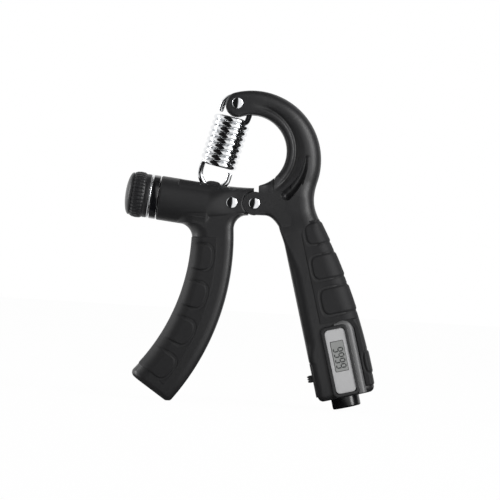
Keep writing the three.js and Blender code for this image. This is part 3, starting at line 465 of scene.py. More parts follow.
@dataclass
class PalmLever:
    """Barrel, hinge block and curved handle in one moulding, with the rubber pad on its palm side."""

    finish: Material
    rubber: Material
    top: Pair = (-21.5, -14.0)
    bend_radius: float = 116.5
    bend: float = math.radians(44.5)
    end_skew: float = math.radians(7.4)
    top_half_width: float = 10.7
    end_half_width: float = 12.7
    half_depth: float = 11.5
    foot_radius: float = 2.8
    barrel_radius: float = 11.5
    barrel_end: float = 49.6
    rim: tuple[Pair, ...] = ((0.0, 1.9), (0.0, 0.8), (0.2, 0.3), (0.6, 0.05))
    left_fillet: Pair = (-18.0, 8.0)
    right_fillet: Pair = (-13.3, 7.4)
    palm_round: Pair = (8.5, 8.0)
    finger_round: Pair = (4.6, 3.6)
    neck_inset: float = 2.1
    blend: float = 3.5
    slot_half_width: float = 4.3
    slot_floor: float = 3.2
    slot: Pair = (-39.4, -14.9)
    lip: Pair = (-40.4, -14.0)
    lip_height: float = 11.35
    lip_curve: float = 0.18
    pads: int = 4
    pad_round: Pair = (8.7, 8.2)
    pad_proud: float = 0.35
    pad_seam_round: Pair = (0.5, 0.45)

    def point(self, angle: Array, offset: Array) -> Array:
        """Along the bend by an angle, and off its centreline towards the fingers by an offset."""
        radius = self.bend_radius + offset
        x, z = self.top
        return grid(x - self.bend_radius + radius * np.cos(angle), z - radius * np.sin(angle))

    def half_width(self, angle: Array) -> Array:
        """Half the handle's width, which grows evenly along the bend."""
        return self.top_half_width + (self.end_half_width - self.top_half_width) * angle / self.bend

    def barrel_depth(self, points: Array) -> Array:
        """Half depth of the barrel's round body over points of the front plane; zero past its outline."""
        along, across = BARREL.back(points)
        return np.sqrt(np.maximum(self.barrel_radius**2 - across**2, 0.0)) * smooth((-19 - along) / 5)

    def fillet(self, z: Array, start: float, radius: float) -> Array:
        """How far a quarter circle that starts at a height has moved sideways: r (1 - cos) of its rise."""
        return radius * (1 - np.sqrt(np.clip(1 - ((z - start) / radius) ** 2, 0, 1))) * (z > start)

    def edges(self) -> tuple[Array, Array]:
        """Left and right edge from the foot to inside the barrel: the bend, then a fillet on each side."""
        t = np.linspace(1, 0, 210)
        skew = self.end_half_width * math.tan(self.end_skew) / self.bend_radius
        edge = []
        for side in (-1, 1):
            short = self.foot_radius / (self.bend_radius + side * self.end_half_width)
            angle = (self.bend - side * skew - short) * t
            edge.append(self.point(angle, side * self.half_width(angle)))
        rise = np.linspace(0, 1, 60)[1:]
        z = self.top[1] + 9.0 * rise
        left_x, right_x = edge[0][-1, 0], edge[1][-1, 0]
        left = np.vstack([edge[0], grid(np.full_like(z, left_x), z)])
        right = np.vstack([edge[1], grid(np.full_like(z, right_x), z)])
        left[:, 0] -= self.fillet(left[:, 1], *self.left_fillet)
        right[:, 0] += self.fillet(right[:, 1], *self.right_fillet)
        return left, right

    def handle(self) -> Surface:
        """The curved bar, deep and soft on the palm side, with its top lifted to meet the barrel smoothly."""
        left, right = self.edges()
        count = len(left)
        rounds = (np.tile(each, (count, 1)) for each in (self.palm_round, self.finger_round))
        path = Path(left, right, np.full(count, self.half_depth), *rounds)
        path = path.ended(self.foot_radius, last=False)
        middle = (path.left[:, 1] + path.right[:, 1]) / 2
        path.depth = path.depth - self.neck_inset * smooth((middle + 19) / 11) * (path.depth > 11)
        points = path.skin(Section(face=52, corner=10, side=14))
        bulk = self.barrel_depth(points)
        blend = self.blend
        near = np.clip(1 - np.abs(np.abs(points[..., 1]) - bulk) / blend, 0, 1)
        over = np.maximum(np.abs(points[..., 1]), bulk - 0.12) + near**2 * blend / 4 * (bulk > 0)
        lifted = np.where(points[..., 1] < 0, -over, over)
        points[..., 1] = np.where((bulk > 0) & (points[..., 2] > -17), lifted, points[..., 1])
        return net(points)

    def barrel(self) -> Surface:
        """The round body that grows flat-faced towards the hinge, where it ends on the seat of the lugs.

        Each section runs round a superellipse |u|^n + |v|^n = 1 whose power goes from 2 at the barrel to 5.2
        at the hinge, and the last ones bend onto the circle of the seat. The slot is sunk from above.
        """
        slot, rest = np.radians(np.linspace(-36, 36, 66)), np.radians(np.linspace(36, 324, 112))[1:-1]
        angle = np.concatenate([slot, rest])
        up, deep = np.cos(angle), -np.sin(angle)
        end, radius = self.barrel_end, self.barrel_radius
        rim = [(-end + x, radius - inset) for x, inset in self.rim]
        straight = [(x, radius) for x in np.linspace(-end + 1.1, -24, 66)]
        rows = [BARREL.out(grid(x, r * deep, r * up)) for x, r in rim + straight]
        start = rows[-1]
        seat = HINGE.lug + HINGE.seat_gap
        for t in np.linspace(0, 1, 76)[1:]:
            ease, thin = float(smooth(np.array(t))), float(smooth(np.array(t / 0.8)))
            power = 2 / (2 + 3.2 * ease)
            u, v = np.sign(up) * np.abs(up) ** power, np.sign(deep) * np.abs(deep) ** power
            high = 8.35 - 0.25 * t + 2.12 * (1 - t) ** 1.8
            low = -6.15 - 6.1 * (1 - t) ** 1.6
            z = (high + low) / 2 + u * (high - low) / 2
            seat_x = -np.maximum(0.2, np.sqrt(np.maximum(seat**2 - z**2, 0)))
            seat_x = np.where(z < -4.2, np.minimum(seat_x, -3.2), seat_x)
            first = start[:, 0] + (z - start[:, 2]) * math.tan(BARREL.turn)
            half = radius + (HINGE.half_depth - radius) * thin - 0.35 * max(0.0, (t - 0.97) / 0.03) ** 2
            rows.append(grid(first + (seat_x - first) * t, v * half, z))
        last = rows[-1]
        rows += [last * np.array([1.0, share, 1.0]) for share in np.linspace(1, 0.02, 8)[1:]]
        points = np.stack(rows)
        along, above = BARREL.back(points)
        beside = np.maximum(np.abs(points[..., 1]) - self.slot_half_width, 0)
        lip = np.where(beside > 4.4, -99, self.lip_height - self.lip_curve * beside**2)
        on_top = (along > self.lip[0]) & (along < self.lip[1]) & (above > 5)
        above = np.where(on_top, np.maximum(above, lip), above)
        sunk = (along > self.slot[0]) & (along < self.slot[1]) & (above > self.slot_floor)
        sunk &= np.abs(points[..., 1]) < self.slot_half_width
        above = np.where(sunk, self.slot_floor, above)
        return net(BARREL.out(grid(along, points[..., 1], above)))

    def pad_relief(self, angle: Array, offset: Array) -> tuple[Array, Array]:
        """Height of the D-shaped pads and painted shade along their outlines, each the inside of a
        superellipse open to the palm.
        """
        height, line = np.zeros_like(angle), np.zeros_like(angle)
        for k in range(self.pads):
            middle, reach, deep = math.radians(7.0 + 10.2 * k), 0.9 + 0.85 * k, 6.5
            a = (angle - middle) * self.bend_radius / 7.4
            o = np.maximum(offset - (reach - deep), 0) / deep
            away = ((np.abs(a) ** 2.8 + o**2.8) ** (1 / 2.8) - 1) * deep
            shown = smooth((offset + 9.5) / 5)
            raise_by = 0.34 * smooth(-away / 1.0) * smooth((offset + 12) / 5)
            height += raise_by - 0.55 * valley(away, 0.45) * shown
            # Painted shade: line marks each pad's outline groove, which the material darkens.
            line = np.maximum(line, valley(away, 0.36) * smooth((offset + 7.5) / 5))
        return height, line

    def pad(self) -> Surface:
        """The rubber over the palm side: the handle's own section a little proud, with the raised pads."""
        angle = np.linspace(math.radians(2.0), self.bend - math.radians(3.4), 250)
        left = self.point(angle, -self.half_width(angle) - self.pad_proud)
        right = self.point(angle, 2.3 + 2.6 * angle / self.bend)
        count = len(angle)
        rounds = (np.tile(each, (count, 1)) for each in (self.pad_round, self.pad_seam_round))
        path = Path(left, right, np.full(count, self.half_depth + 0.16), *rounds)
        path = path.closed(0.6)
        points = path.skin(Section(face=40, corner=26, side=14))
        dx, dz = points[..., 0] - (self.top[0] - self.bend_radius), self.top[1] - points[..., 2]
        height, line = self.pad_relief(np.arctan2(dz, dx), np.hypot(dx, dz) - self.bend_radius)
        # The line values are painted shade along the pad outlines.
        return net(raised(points, height), values={"line": line})

    def build(self) -> None:
        """Makes the moulding and the rubber and lets them ride on the palm lever."""
        body = put("palm_moulding", together(self.handle(), self.barrel()), self.finish)
        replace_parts(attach(body, "palm_lever"), "palm_lever")
        pad = put("palm_rubber", self.pad(), self.rubber)
        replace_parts(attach(pad, "palm_lever"), "palm_grip")


def raised(points: Array, height: Array) -> Array:
    """Grid points moved out along the surface by a height; its normal is the cross of its two directions."""
    down = np.gradient(points, axis=0)
    across = np.roll(points, -1, axis=1) - np.roll(points, 1, axis=1)
    normal = np.cross(across, down)
    normal /= np.maximum(np.linalg.norm(normal, axis=-1, keepdims=True), 1e-9)
    outward = np.sign(np.sum(normal * (points - points.mean(axis=1, keepdims=True))))
    return points + normal * outward * height[..., None]


# ---------------------------------------------------------------- finger lever


@dataclass
class FingerLever:
    """Arched arm, hinge block and straight handle in one moulding, with the rubber over the fingers' side."""

    finish: Material
    rubber: Material
    half_depth: float = 11.5
    arm_half_depth: float = 8.5
    inner: float = 11.0
    outer: float = 41.9
    bow_radius: float = 298.0
    bow_z: float = -95.0
    end_z: float = -107.8
    foot_radius: float = 2.8
    fork_half_gap: float = 2.7
    cover_recess: float = 0.7
    arm_round: float = 2.4
    outer_round: float = 8.0
    foot_inner_round: float = 3.0
    inner_swell: float = 2.5
    grip_proud: float = 0.2
    grip_round: Pair = (8.2, 6.5)
    grip_seam_round: Pair = (0.5, 0.5)
    finger_pads: tuple[Triple, ...] = (
        (-21.6, 5.9, 22.2),
        (-39.4, 6.7, 22.0),
        (-57.6, 7.3, 23.0),
        (-92.2, 6.3, 38.6),
    )

    def bow(self, z: Array) -> Array:
        """Outer edge of the handle, a shallow parabola in the handle's frame."""
        return self.outer - (z - self.bow_z) ** 2 / (2 * self.bow_radius)

    def place(self, x: Array, z: Array) -> Array:
        """Points of the handle's frame as (x, z) of the pivot frame."""
        return FINGER.out(grid(x, 0.0, z))[:, [0, 2]]

    def depth(self, z: Array) -> Array:
        """Half depth over height: the arm's above 14, the hinge's from 4 to -2, the handle's below -14."""
        step = HINGE.half_depth - self.arm_half_depth
        swell = self.half_depth - HINGE.half_depth
        return self.arm_half_depth + step * smooth((14 - z) / 10) + swell * smooth((-2 - z) / 12)

    def relief(self, points: Array) -> tuple[Array, Array]:
        """Groove round the opening and the leaf-shaped hollow beside it, and painted shade along the groove.

        The groove is a Gaussian valley on a circle 4.7 outside the opening; the hollow follows a curved line,
        its radius and depth growing downwards.
        """
        x, z = points[..., 0], points[..., 2]
        dx, dz = x - ARCH.loop[0], z - ARCH.loop[1]
        ring = np.hypot(dx, dz) - ARCH.loop_radius - 4.7
        angle = np.degrees(np.arctan2(dz, dx))
        shown = smooth((92 - angle) / 30) * smooth((angle + 66) / 26)
        beside = 0.35 * smooth((ring + 0.5) / 1.5) * smooth((5.0 - ring) / 4.0)
        height = -1.0 * valley(ring, 1.0) * shown - beside * shown
        t = np.linspace(0, 1, 60)
        spine = bezier([(27.0, 25.0), (26.3, 15.5), (22.8, 10.0), (16.6, 4.2)], t)
        width = 0.15 + 2.25 * t**0.8
        flat = grid(x, z).reshape(-1, 2)
        near = (flat[:, 0] > 12) & (flat[:, 0] < 30) & (flat[:, 1] > 0) & (flat[:, 1] < 28)
        hollow = np.zeros(len(flat))
        if near.any():
            gap = np.linalg.norm(flat[near][:, None, :] - spine[None], axis=-1)
            inside = 1 - (gap / (width[None] + 0.25)) ** 2
            deep = (0.7 + 3.4 * t)[None] * np.sqrt(np.clip(inside, 0, 1))
            hollow[near] = deep.max(axis=1)
        # The second result is painted shade along the groove.
        return height - hollow.reshape(x.shape), valley(ring, 0.4) * shown * 0.6

    def edges(self) -> tuple[Array, Array, Array, Array]:
        """Inner and outer edge from the arm's tip to the foot, with the size of each edge's rounding."""
        loop, tip, radius = np.array(ARCH.loop), ARCH.tip(), ARCH.tip_radius()
        out = np.array([math.cos(ARCH.tip_angle), math.sin(ARCH.tip_angle)])
        on = np.array([-out[1], out[0]])
        turn = np.linspace(math.pi / 2 * 0.985, 0, 34)
        nose = tip + on * (radius * np.sin(turn))[:, None]
        half = out * (radius * np.cos(turn))[:, None]
        angle = np.linspace(ARCH.tip_angle, math.radians(-25.8), 250)[1:]
        ray = grid(np.cos(angle), np.sin(angle))
        arc_in = loop + ray * ARCH.loop_radius
        arc_out = ray_to_circle(loop, ray, np.array(ARCH.outer), ARCH.outer_radius)
        t = np.linspace(0, 1, 96)[1:]
        low = np.radians(np.linspace(-25.8, -45, 20))[1:]
        follow = loop + grid(np.cos(low), np.sin(low)) * ARCH.loop_radius
        z_top = -14.0
        joint = self.place(np.array([10.0]), z_top)[0]
        bend = [tuple(follow[-1]), (8.2, 11.1), (joint[0] - 2.0, joint[1] + 7.4), tuple(joint)]
        down = bezier(bend, np.linspace(0, 1, 77)[1:])
        meet = self.place(self.bow(np.array([z_top])), z_top)[0]
        waist = bezier([tuple(arc_out[-1]), (29.6, 1.6), (31.2, -2.8), tuple(meet)], t)
        z = np.linspace(z_top, self.end_z + self.foot_radius, 110)[1:]
        recess = self.cover_recess * smooth((-86.6 - z) / 0.6) * smooth((z + 106.0) / 0.6)
        inner_x = self.inner - 1.0 * smooth((z + 25) / 11) + recess
        left = np.vstack([nose - half, arc_in, follow, down, self.place(inner_x, z)])
        outer_x = self.bow(z) - 0.3 * smooth((-16 - z) / 4)
        right = np.vstack([nose + half, arc_out, waist, self.place(outer_x, z)])
        arm = len(nose) + len(arc_in) + len(follow)
        handle = self.foot_inner_round + self.inner_swell * smooth((z + 84) / 8)
        inside = np.concatenate([np.full(arm, self.arm_round), np.full(len(down), LEAST_ROUND), handle])
        inside[-len(z):-len(z) + 34] = 0.3 + 5.2 * smooth(np.linspace(0, 1, 34))
        grows = np.linspace(self.arm_round, self.outer_round, 90)
        rest = np.full(len(left) - len(nose) - len(grows), self.outer_round)
        outside = np.concatenate([np.full(len(nose), self.arm_round), grows, rest])
        return left, right, inside, outside

    def bar(self) -> Surface:
        """Arm and handle as one section carried from the tip round the opening and down to the foot."""
        left, right, inside, outside = self.edges()
        middle = (left + right) / 2
        depth = self.depth(middle[:, 1])
        turn = np.clip(np.arange(len(left)) / 34, 0, 1)
        depth = depth - 1.6 * (1 - np.sqrt(np.clip(1 - (1 - turn) ** 6, 0, 1)))
        path = Path(left, right, depth, grid(inside, inside * 0.9), grid(outside, outside * 0.78))
        path = path.ended(self.foot_radius)
        points = path.skin(Section(face=50, corner=10, side=6))
        height, line = self.relief(points)
        face = smooth((np.abs(points[..., 1]) / np.maximum(self.depth(points[..., 2]), 1) - 0.55) / 0.2)
        rows = np.arange(len(points))[:, None]
        zone = smooth((rows - 250) / 25) * smooth((399 - rows) / 15)
        from_left = np.linalg.norm(points[..., [0, 2]] - path.left[:, None, :], axis=-1)
        seam = (-0.12 + 0.18 * smooth(from_left / 9)) * zone
        points[..., 1] += np.sign(points[..., 1]) * (height + seam) * face
        fork_end = ARCH.anchor()[0] + 7.6 + 1.45 + 1.5
        last = int(np.argmax(middle[:, 0] > fork_end))
        # The line values are painted shade along the groove round the opening.
        parts = [net(points[last:], values={"line": (line * face)[last:]})]
        for side in (-1, 1):
            cheek = points[: last + 1].copy()
            cheek[..., 1] = side * np.maximum(side * cheek[..., 1], self.fork_half_gap)
            parts.append(net(cheek, values={"line": (line * face)[: last + 1]}))
        return together(*parts)

    def block(self) -> Surface:
        """The hinge block from the round lug to inside the bar, sections from its underside to its top."""
        lug, loop = HINGE.lug, ARCH.loop
        turn = np.linspace(math.pi * 0.99, math.pi / 2 * 0.72, 56)
        x_lug = lug * np.cos(turn)
        step = [HINGE.notch - 0.01, HINGE.notch + 0.05, HINGE.notch + 0.3]
        x = np.concatenate([x_lug[x_lug < step[0]], step, np.linspace(HINGE.notch + 0.7, 19.0, 62)])
        circle = np.sqrt(np.maximum(lug**2 - x**2, 0))
        arc = loop[1] - np.sqrt(np.maximum(ARCH.loop_radius**2 - (x - loop[0]) ** 2, 0))
        arc = np.minimum(arc - 0.5 * np.maximum(x - 11.5, 0), 13.0)
        corner = 0.5 * np.clip(1 - (x - HINGE.notch) / 0.5, 0, 1) ** 2
        top = np.where(x < HINGE.notch, circle, arc - corner)
        fall = -5.9 - 0.25 * np.clip(x - 0.5, 0, 5) / 5 - 7.2 * np.clip((x - 5.2) / 8.3, 0, 1) ** 2.1
        bottom = np.where(x < 0.6, -np.sqrt(np.maximum(lug**2 - x**2, 0)), fall)
        bottom = np.minimum(bottom, -0.05)
        top = np.maximum(top, 0.05)
        up = grid(x, top)
        down = grid(x, bottom)
        count = len(x)
        soft = np.clip((x - HINGE.notch) / 6, 0, 1)
        top_round = 0.35 + 1.8 * soft
        under_round = 0.35 + 1.8 * np.clip((x - 0.6) / 5, 0, 1)
        rounds = grid(top_round, top_round), grid(under_round, under_round)
        path = Path(up, down, np.full(count, HINGE.half_depth), *rounds)
        points = path.skin(Section(face=50, corner=8, side=10))
        target = self.depth(points[..., 2]) / HINGE.half_depth
        past = points[..., 0] - HINGE.notch
        points[..., 1] *= np.where(points[..., 0] > HINGE.notch, 1 + (target - 1) * smooth(past / 5), 1)
        height, line = self.relief(points)
        face = smooth((np.abs(points[..., 1]) / HINGE.half_depth - 0.6) / 0.2)
        points[..., 1] += np.sign(points[..., 1]) * height * face
        # The line values are painted shade along the groove round the opening.
        return net(points, values={"line": line * face})

    def grip_relief(self, x: Array, z: Array) -> tuple[Array, Array]:
        """Height of the finger pads and painted shade along their outlines, in the handle's frame, each open
        to the outer edge.
        """
        height, line = np.zeros_like(x), np.zeros_like(x)
        for middle, half, start in self.finger_pads:
            deep = 5.0
            a = np.abs(z - middle) / half
            o = np.maximum(start + deep - x, 0) / deep
            away = ((a**3.2 + o**3.2) ** (1 / 3.2) - 1) * deep
            rim = self.bow(z) - x
            shown = 0.35 + 0.65 * smooth((rim - 2) / 8)
            height += 0.40 * smooth(-away / 1.1) - 0.5 * valley(away, 0.45) * shown
            # Painted shade: line marks each pad's outline groove, which the material darkens.
            line = np.maximum(line, valley(away, 0.36) * shown)
        return height, line

    def grip(self) -> Surface:
        """The rubber: from its seam round the outer edge to the seam on the back, a little proud."""
        stations = ((-15.4, -68.0, 150), (-68.0, -69.3, 16), (-69.3, -103.6, 100))
        z = np.concatenate([[stations[0][0]]] + [np.linspace(*each)[1:] for each in stations])
        seam = 20.3 + 6.5 * np.clip(1 - (-14.8 - z) / 7.0, 0, 1) ** 2.2
        seam = seam + 13.5 * smooth((-68.2 - z) / 0.9) + 3.4 * smooth((-69.0 - z) / 5.0)
        count = len(z)
        proud = self.grip_proud
        rounds = (np.tile(each, (count, 1)) for each in (self.grip_seam_round, self.grip_round))
        full = np.full(count, self.half_depth + proud)
        path = Path(self.place(seam, z), self.place(self.bow(z) + proud, z), full, *rounds)
        path = path.closed(0.7)
        depth = self.depth(((path.left + path.right) / 2)[:, 1])
        path.depth = np.minimum(path.depth, depth + proud)
        points = path.skin(Section(face=44, corner=18, side=18))
        height, line = self.grip_relief(*FINGER.back(points))
        # Painted shade: the line also darkens a band along the seam with the plastic, where the crease is
        # shaded.
        border = np.linalg.norm(points[..., [0, 2]] - path.left[:, None, :], axis=-1)
        line = np.maximum(line, valley(border, 0.45))
        return net(raised(points, height), values={"line": line})

    def build(self) -> None:
        """Makes the moulding, the hinge block and the rubber, which ride on the finger lever."""
        body = put("finger_moulding", self.bar(), self.finish)
        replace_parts(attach(body, "finger_lever"), "finger_lever")
        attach(put("finger_hinge_block", self.block(), self.finish), "finger_lever")
        grip = put("finger_rubber", self.grip(), self.rubber)
        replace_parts(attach(grip, "finger_lever"), "finger_grip")


# ---------------------------------------------------------------- knob and its neighbours on the barrel's end


@dataclass(frozen=True)
class Ring:
    """A ring on the barrel: where it starts, where its line is closed, where it ends, and its two radii."""

    name: str
    start: float
    seam: float
    end: float
    radii: Pair


@dataclass
class TensionKnob:
    """Collar of the barrel, bright ring, ribbed knob and domed cap, in this order on the barrel's axis.

    A line of (along, radius) starts at the hinge, so that places along the barrel are below zero.
    """

    gloss: Material
    satin: Material
    chrome: Material
    cap: Material
    ribs: int = 34
    around: int = 272
    rib_depth: float = 0.34
    dome_end: float = -67.05
    dome_rise: float = 2.95
    dome_radius: float = 10.95
    collar_size: Ring = Ring("barrel_collar_ring", -49.9, -51.6, -53.4, (9.0, 11.45))
    bright_size: Ring = Ring("bright_ring", -53.7, -54.1, -54.6, (9.4, 11.6))

    def ring(self, size: Ring, finish: Material) -> Piece:
        """A ring of rectangular section turned round the barrel's axis, its corners rounded."""
        inner, outer = size.radii
        profile = [(size.seam, inner), (size.start, inner), (size.start, outer)]
        profile += [(size.end, outer), (size.end, inner), (size.seam, inner)]
        surface = turned(rounded(profile, 0.35), 96, "x", bore=True)
        return put(size.name, into(BARREL, surface), finish)

    def knob(self) -> Surface:
        """Plain band, then a ribbed band: its radius rises and falls with each rib as a power of |cos|."""
        profile = [(-55.0, 9.3), (-54.95, 10.9), (-54.8, 11.2), (-55.2, 11.3)]
        profile += [(-56.7, 11.3), (-57.05, 11.1), (-57.1, 11.0)]
        ends = np.linspace(-57.1, -63.45, 30)
        swell = np.interp(ends, [-63.45, -62.2, -60.2, -58.2, -57.1], [11.1, 11.75, 12.0, 11.85, 11.2])
        profile += list(zip(ends, swell)) + [(-63.5, 10.4), (-63.4, 9.2)]
        inside = [(-62.0, 9.0), (-56.0, 9.0)]
        rows = np.array(profile + inside)
        angle = np.arange(self.around) / self.around * 2 * math.pi
        ribs = np.abs(np.cos(angle * self.ribs / 2)) ** 0.55 - 1
        share = smooth((-57.3 - rows[:, 0]) / 0.5) * smooth((rows[:, 0] + 63.5) / 0.5) * (rows[:, 1] > 10.9)
        return turned(profile + inside, self.around, "x", self.rib_depth * np.outer(share, ribs), bore=True)

    def build(self) -> None:
        """Makes the pieces; the collar stays with the barrel and the others turn with the knob."""
        collar = self.ring(self.collar_size, self.gloss)
        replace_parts(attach(collar, "palm_lever"), "barrel_collar")
        ring = self.ring(self.bright_size, self.chrome)
        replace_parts(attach(ring, "tension_knob"), "knob_ring")
        knob = put("ribbed_knob", into(BARREL, self.knob()), self.satin, sharp=50)
        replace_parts(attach(knob, "tension_knob"), "tension_knob")
        turn = np.linspace(0, math.pi / 2, 26)
        end, rise, radius = self.dome_end, self.dome_rise, self.dome_radius
        dome = [(end + rise * (1 - math.cos(a)), radius * math.sin(a)) for a in turn]
        dome += [(-63.75, radius), (-63.7, 10.7), (-63.7, ON_AXIS)]
        dome[0] = (end, ON_AXIS)
        cap = put("domed_cap", into(BARREL, turned(dome, 96, "x")), self.cap)
        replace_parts(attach(cap, "tension_knob"), "knob_end_cap")


@dataclass
class Rivets:
    """The three bright pins through the levers, each with two low domed heads."""

    chrome: Material
    head_height: float = 1.0

    def pin(self, half: float, shaft: float) -> Surface:
        """A pin along Y: domed head, shaft, domed head."""
        turn = np.linspace(0.008, math.pi / 2, 14)
        head = [(-half + 0.72 * (1 - math.cos(a)), HINGE.pin_head * math.sin(a)) for a in turn]
        head += [(-half + self.head_height, HINGE.pin_head), (-half + self.head_height + 0.02, shaft)]
        return turned(head + [(-y, r) for y, r in reversed(head)], 64, "y")

    def build(self) -> None:
        """Makes the three pins and lets them ride as their CAD pins do."""
        places = {
            "pivot_pin": ((0.0, 0.0), 2.0, "finger_lever"),
            "cross_pin": (HINGE.cross_pin, 2.0, "palm_lever"),
            "anchor_pin": (tuple(ARCH.anchor()), 1.5, "finger_lever"),
        }
        for node, ((x, z), shaft, body) in places.items():
            low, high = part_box(node)
            surface = into(Axes(x, z), self.pin((high[1] - low[1]) / 2 / MM, shaft))
            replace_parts(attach(put(f"{node}_rivet", surface, self.chrome), body), node)


# ---------------------------------------------------------------- spring


@dataclass
class Spring:
    """Close-wound coil with a full hook at each end, one wire from hook to hook."""

    chrome: Material
    wire: float = 1.45
    coil: float = 8.3
    turns: float = 8.5
    pitch: float = 3.02
    hook: float = 7.6
    span: float = 34.35
    tilt: float = math.radians(17.86)
    foot: Pair = (-22.6, 16.9)
    steps: int = 1400
    around: int = 22
    tip_widths: tuple[float, ...] = (0.93, 0.75, 0.4, 0.02)
    tip_reach: tuple[float, ...] = (0.25, 0.4, 0.47, 0.5)

    def path(self) -> Array:
        """The wire's centreline: a smooth curve through points of a circle's arc, a helix and an arc."""

        def hook(degrees: float, z: float) -> list[float]:
            """A point of the hook about (0, 0, z)."""
            angle = math.radians(degrees)
            return [self.hook * math.cos(angle), 0.0, z + self.hook * math.sin(angle)]

        low = (self.span - self.turns * self.pitch) / 2
        count = 102
        step = np.arange(1, count)
        angle = math.pi + step / 12 * 2 * math.pi
        rise = low + step / count * self.turns * self.pitch
        helix = grid(self.coil * np.cos(angle), self.coil * np.sin(angle), rise)
        knots = np.array([hook(-a, 0) for a in (-15, 20, 50, 80, 110, 140, 165)])
        ends = np.array([hook(a, self.span) for a in (15, 40, 70, 100, 130, 160, 195)])
        return through(np.vstack([knots, helix, ends]), self.steps)

    def build(self) -> None:
        """Sweeps a circle along the wire; its axes are carried on from step to step without twist."""
        line = self.path()
        ahead = np.gradient(line, axis=0)
        ahead /= np.linalg.norm(ahead, axis=1, keepdims=True)
        side = carried(ahead, np.array([0.0, 1.0, 0.0]))
        third = np.cross(ahead, side)
        angle = np.arange(self.around) / self.around * 2 * math.pi
        cos, sin = np.cos(angle)[None, :, None], np.sin(angle)[None, :, None]
        ring = side[:, None, :] * cos + third[:, None, :] * sin
        points = line[:, None, :] + ring * self.wire
        trim = np.array(self.tip_widths)[:, None, None]
        reach = np.array(self.tip_reach)[:, None]
        first = line[0] - ahead[0] * self.wire * reach
        final = line[-1] + ahead[-1] * self.wire * reach
        start_cap = first[:, None, :] + ring[0] * self.wire * trim
        end_cap = final[:, None, :] + ring[-1] * self.wire * trim
        points = np.concatenate([start_cap[::-1], points, end_cap])
        low = BARREL.out(np.array([[self.foot[0], 0.0, self.foot[1]]]))[0]
        axes = Axes(low[0], low[2], self.tilt)
        surface = into(axes, net(points))
        spring = put("coil_spring", surface, self.chrome, sharp=60)
        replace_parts(spring, "tension_spring")

        def world(z: float) -> tuple[float, ...]:
            """A point of the spring's axis in world metres."""
            point = STAND.out(axes.out(np.array([[0.0, 0.0, z]])))[0]
            return tuple(point * MM + np.array([0, SIDEWAYS * MM, 0]))

        coil = self.turns * self.pitch
        start, end = world((self.span + coil) / 2), world((self.span - coil) / 2)
        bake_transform(spring)


def through(knots: Array, steps: int) -> Array:
    """Centripetal Catmull-Rom curve through the knots, by the pyramid of linear blends between knot times."""
    p = np.vstack([2 * knots[0] - knots[1], knots, 2 * knots[-1] - knots[-2]])
    gaps = np.sqrt(np.linalg.norm(np.diff(p, axis=0), axis=1))
    when = np.concatenate([[0], np.cumsum(gaps)])
    t = np.linspace(when[1] + 1e-9, when[-2] - 1e-9, steps)
    k = np.clip(np.searchsorted(when, t) - 1, 1, len(p) - 3)
    time = [when[k + i] for i in (-1, 0, 1, 2)]
    a = [p[k + i] for i in (-1, 0, 1, 2)]
    for pairs in (((0, 1), (1, 2), (2, 3)), ((0, 2), (1, 3)), ((1, 2),)):
        a = [mix(a[i], a[i + 1], t, time[start], time[end]) for i, (start, end) in enumerate(pairs)]
    return a[0]


def mix(first: Array, second: Array, t: Array, start: Array, end: Array) -> Array:
    """Straight blend of two points by where t lies between two times."""
    share = ((t - start) / (end - start))[:, None]
    return first * (1 - share) + second * share


def carried(ahead: Array, start: Array) -> Array:
    """Unit vectors across a line, each the last one with its part along the line taken out."""
    side = start - ahead[0] * (start @ ahead[0])
    out = [side / np.linalg.norm(side)]
    for direction in ahead[1:]:
        side = out[-1] - direction * (out[-1] @ direction)
        out.append(side / np.linalg.norm(side))
    return np.stack(out)


# ---------------------------------------------------------------- counter


class Segment(Enum):
    """A bar of a seven-segment digit: its middle in half widths and heights, and whether it lies flat."""

    TOP = (0.0, 1.0, True)
    UPPER_LEFT = (-1.0, 0.5, False)
    UPPER_RIGHT = (1.0, 0.5, False)
    MIDDLE = (0.0, 0.0, True)
    LOWER_LEFT = (-1.0, -0.5, False)
    LOWER_RIGHT = (1.0, -0.5, False)
    BOTTOM = (0.0, -1.0, True)


NINE = [segment for segment in Segment if segment is not Segment.LOWER_LEFT]


def outline(half_x: float, half_z: float, corner: float, steps: int = 10) -> Array:
    """Rounded rectangle about the origin, its four arcs one after the other, as (x, z)."""
    turn = np.linspace(0, math.pi / 2, steps)
    parts = []
    for k, (sx, sz) in enumerate(((1, 1), (-1, 1), (-1, -1), (1, -1))):
        a = turn + k * math.pi / 2
        x = sx * (half_x - corner) + corner * np.cos(a)
        parts.append(grid(x, sz * (half_z - corner) + corner * np.sin(a)))
    return np.vstack(parts)


def slab(half_x: float, half_z: float, corner: float, front: float, back: float, edge: float) -> Surface:
    """Flat rounded plate between two depths, with its front edge rounded by a quarter circle."""
    rows = [(0.02, 0.0, back), (1.0, 0.0, back), (1.0, 0.0, (front + back) / 2)]
    turn = np.linspace(0, math.pi / 2, 6)
    rows += [(1.0, edge * (1 - math.cos(a)), front + edge * (1 - math.sin(a))) for a in turn]
    rows += [(0.98, edge, front), (0.6, edge, front), (0.02, edge, front)]
    points = []
    for share, inset, depth in rows:
        flat = outline(half_x - inset, half_z - inset, max(corner - inset, 0.1)) * share
        points.append(grid(flat[:, 0], np.full(len(flat), depth), flat[:, 1]))
    return net(np.stack(points))


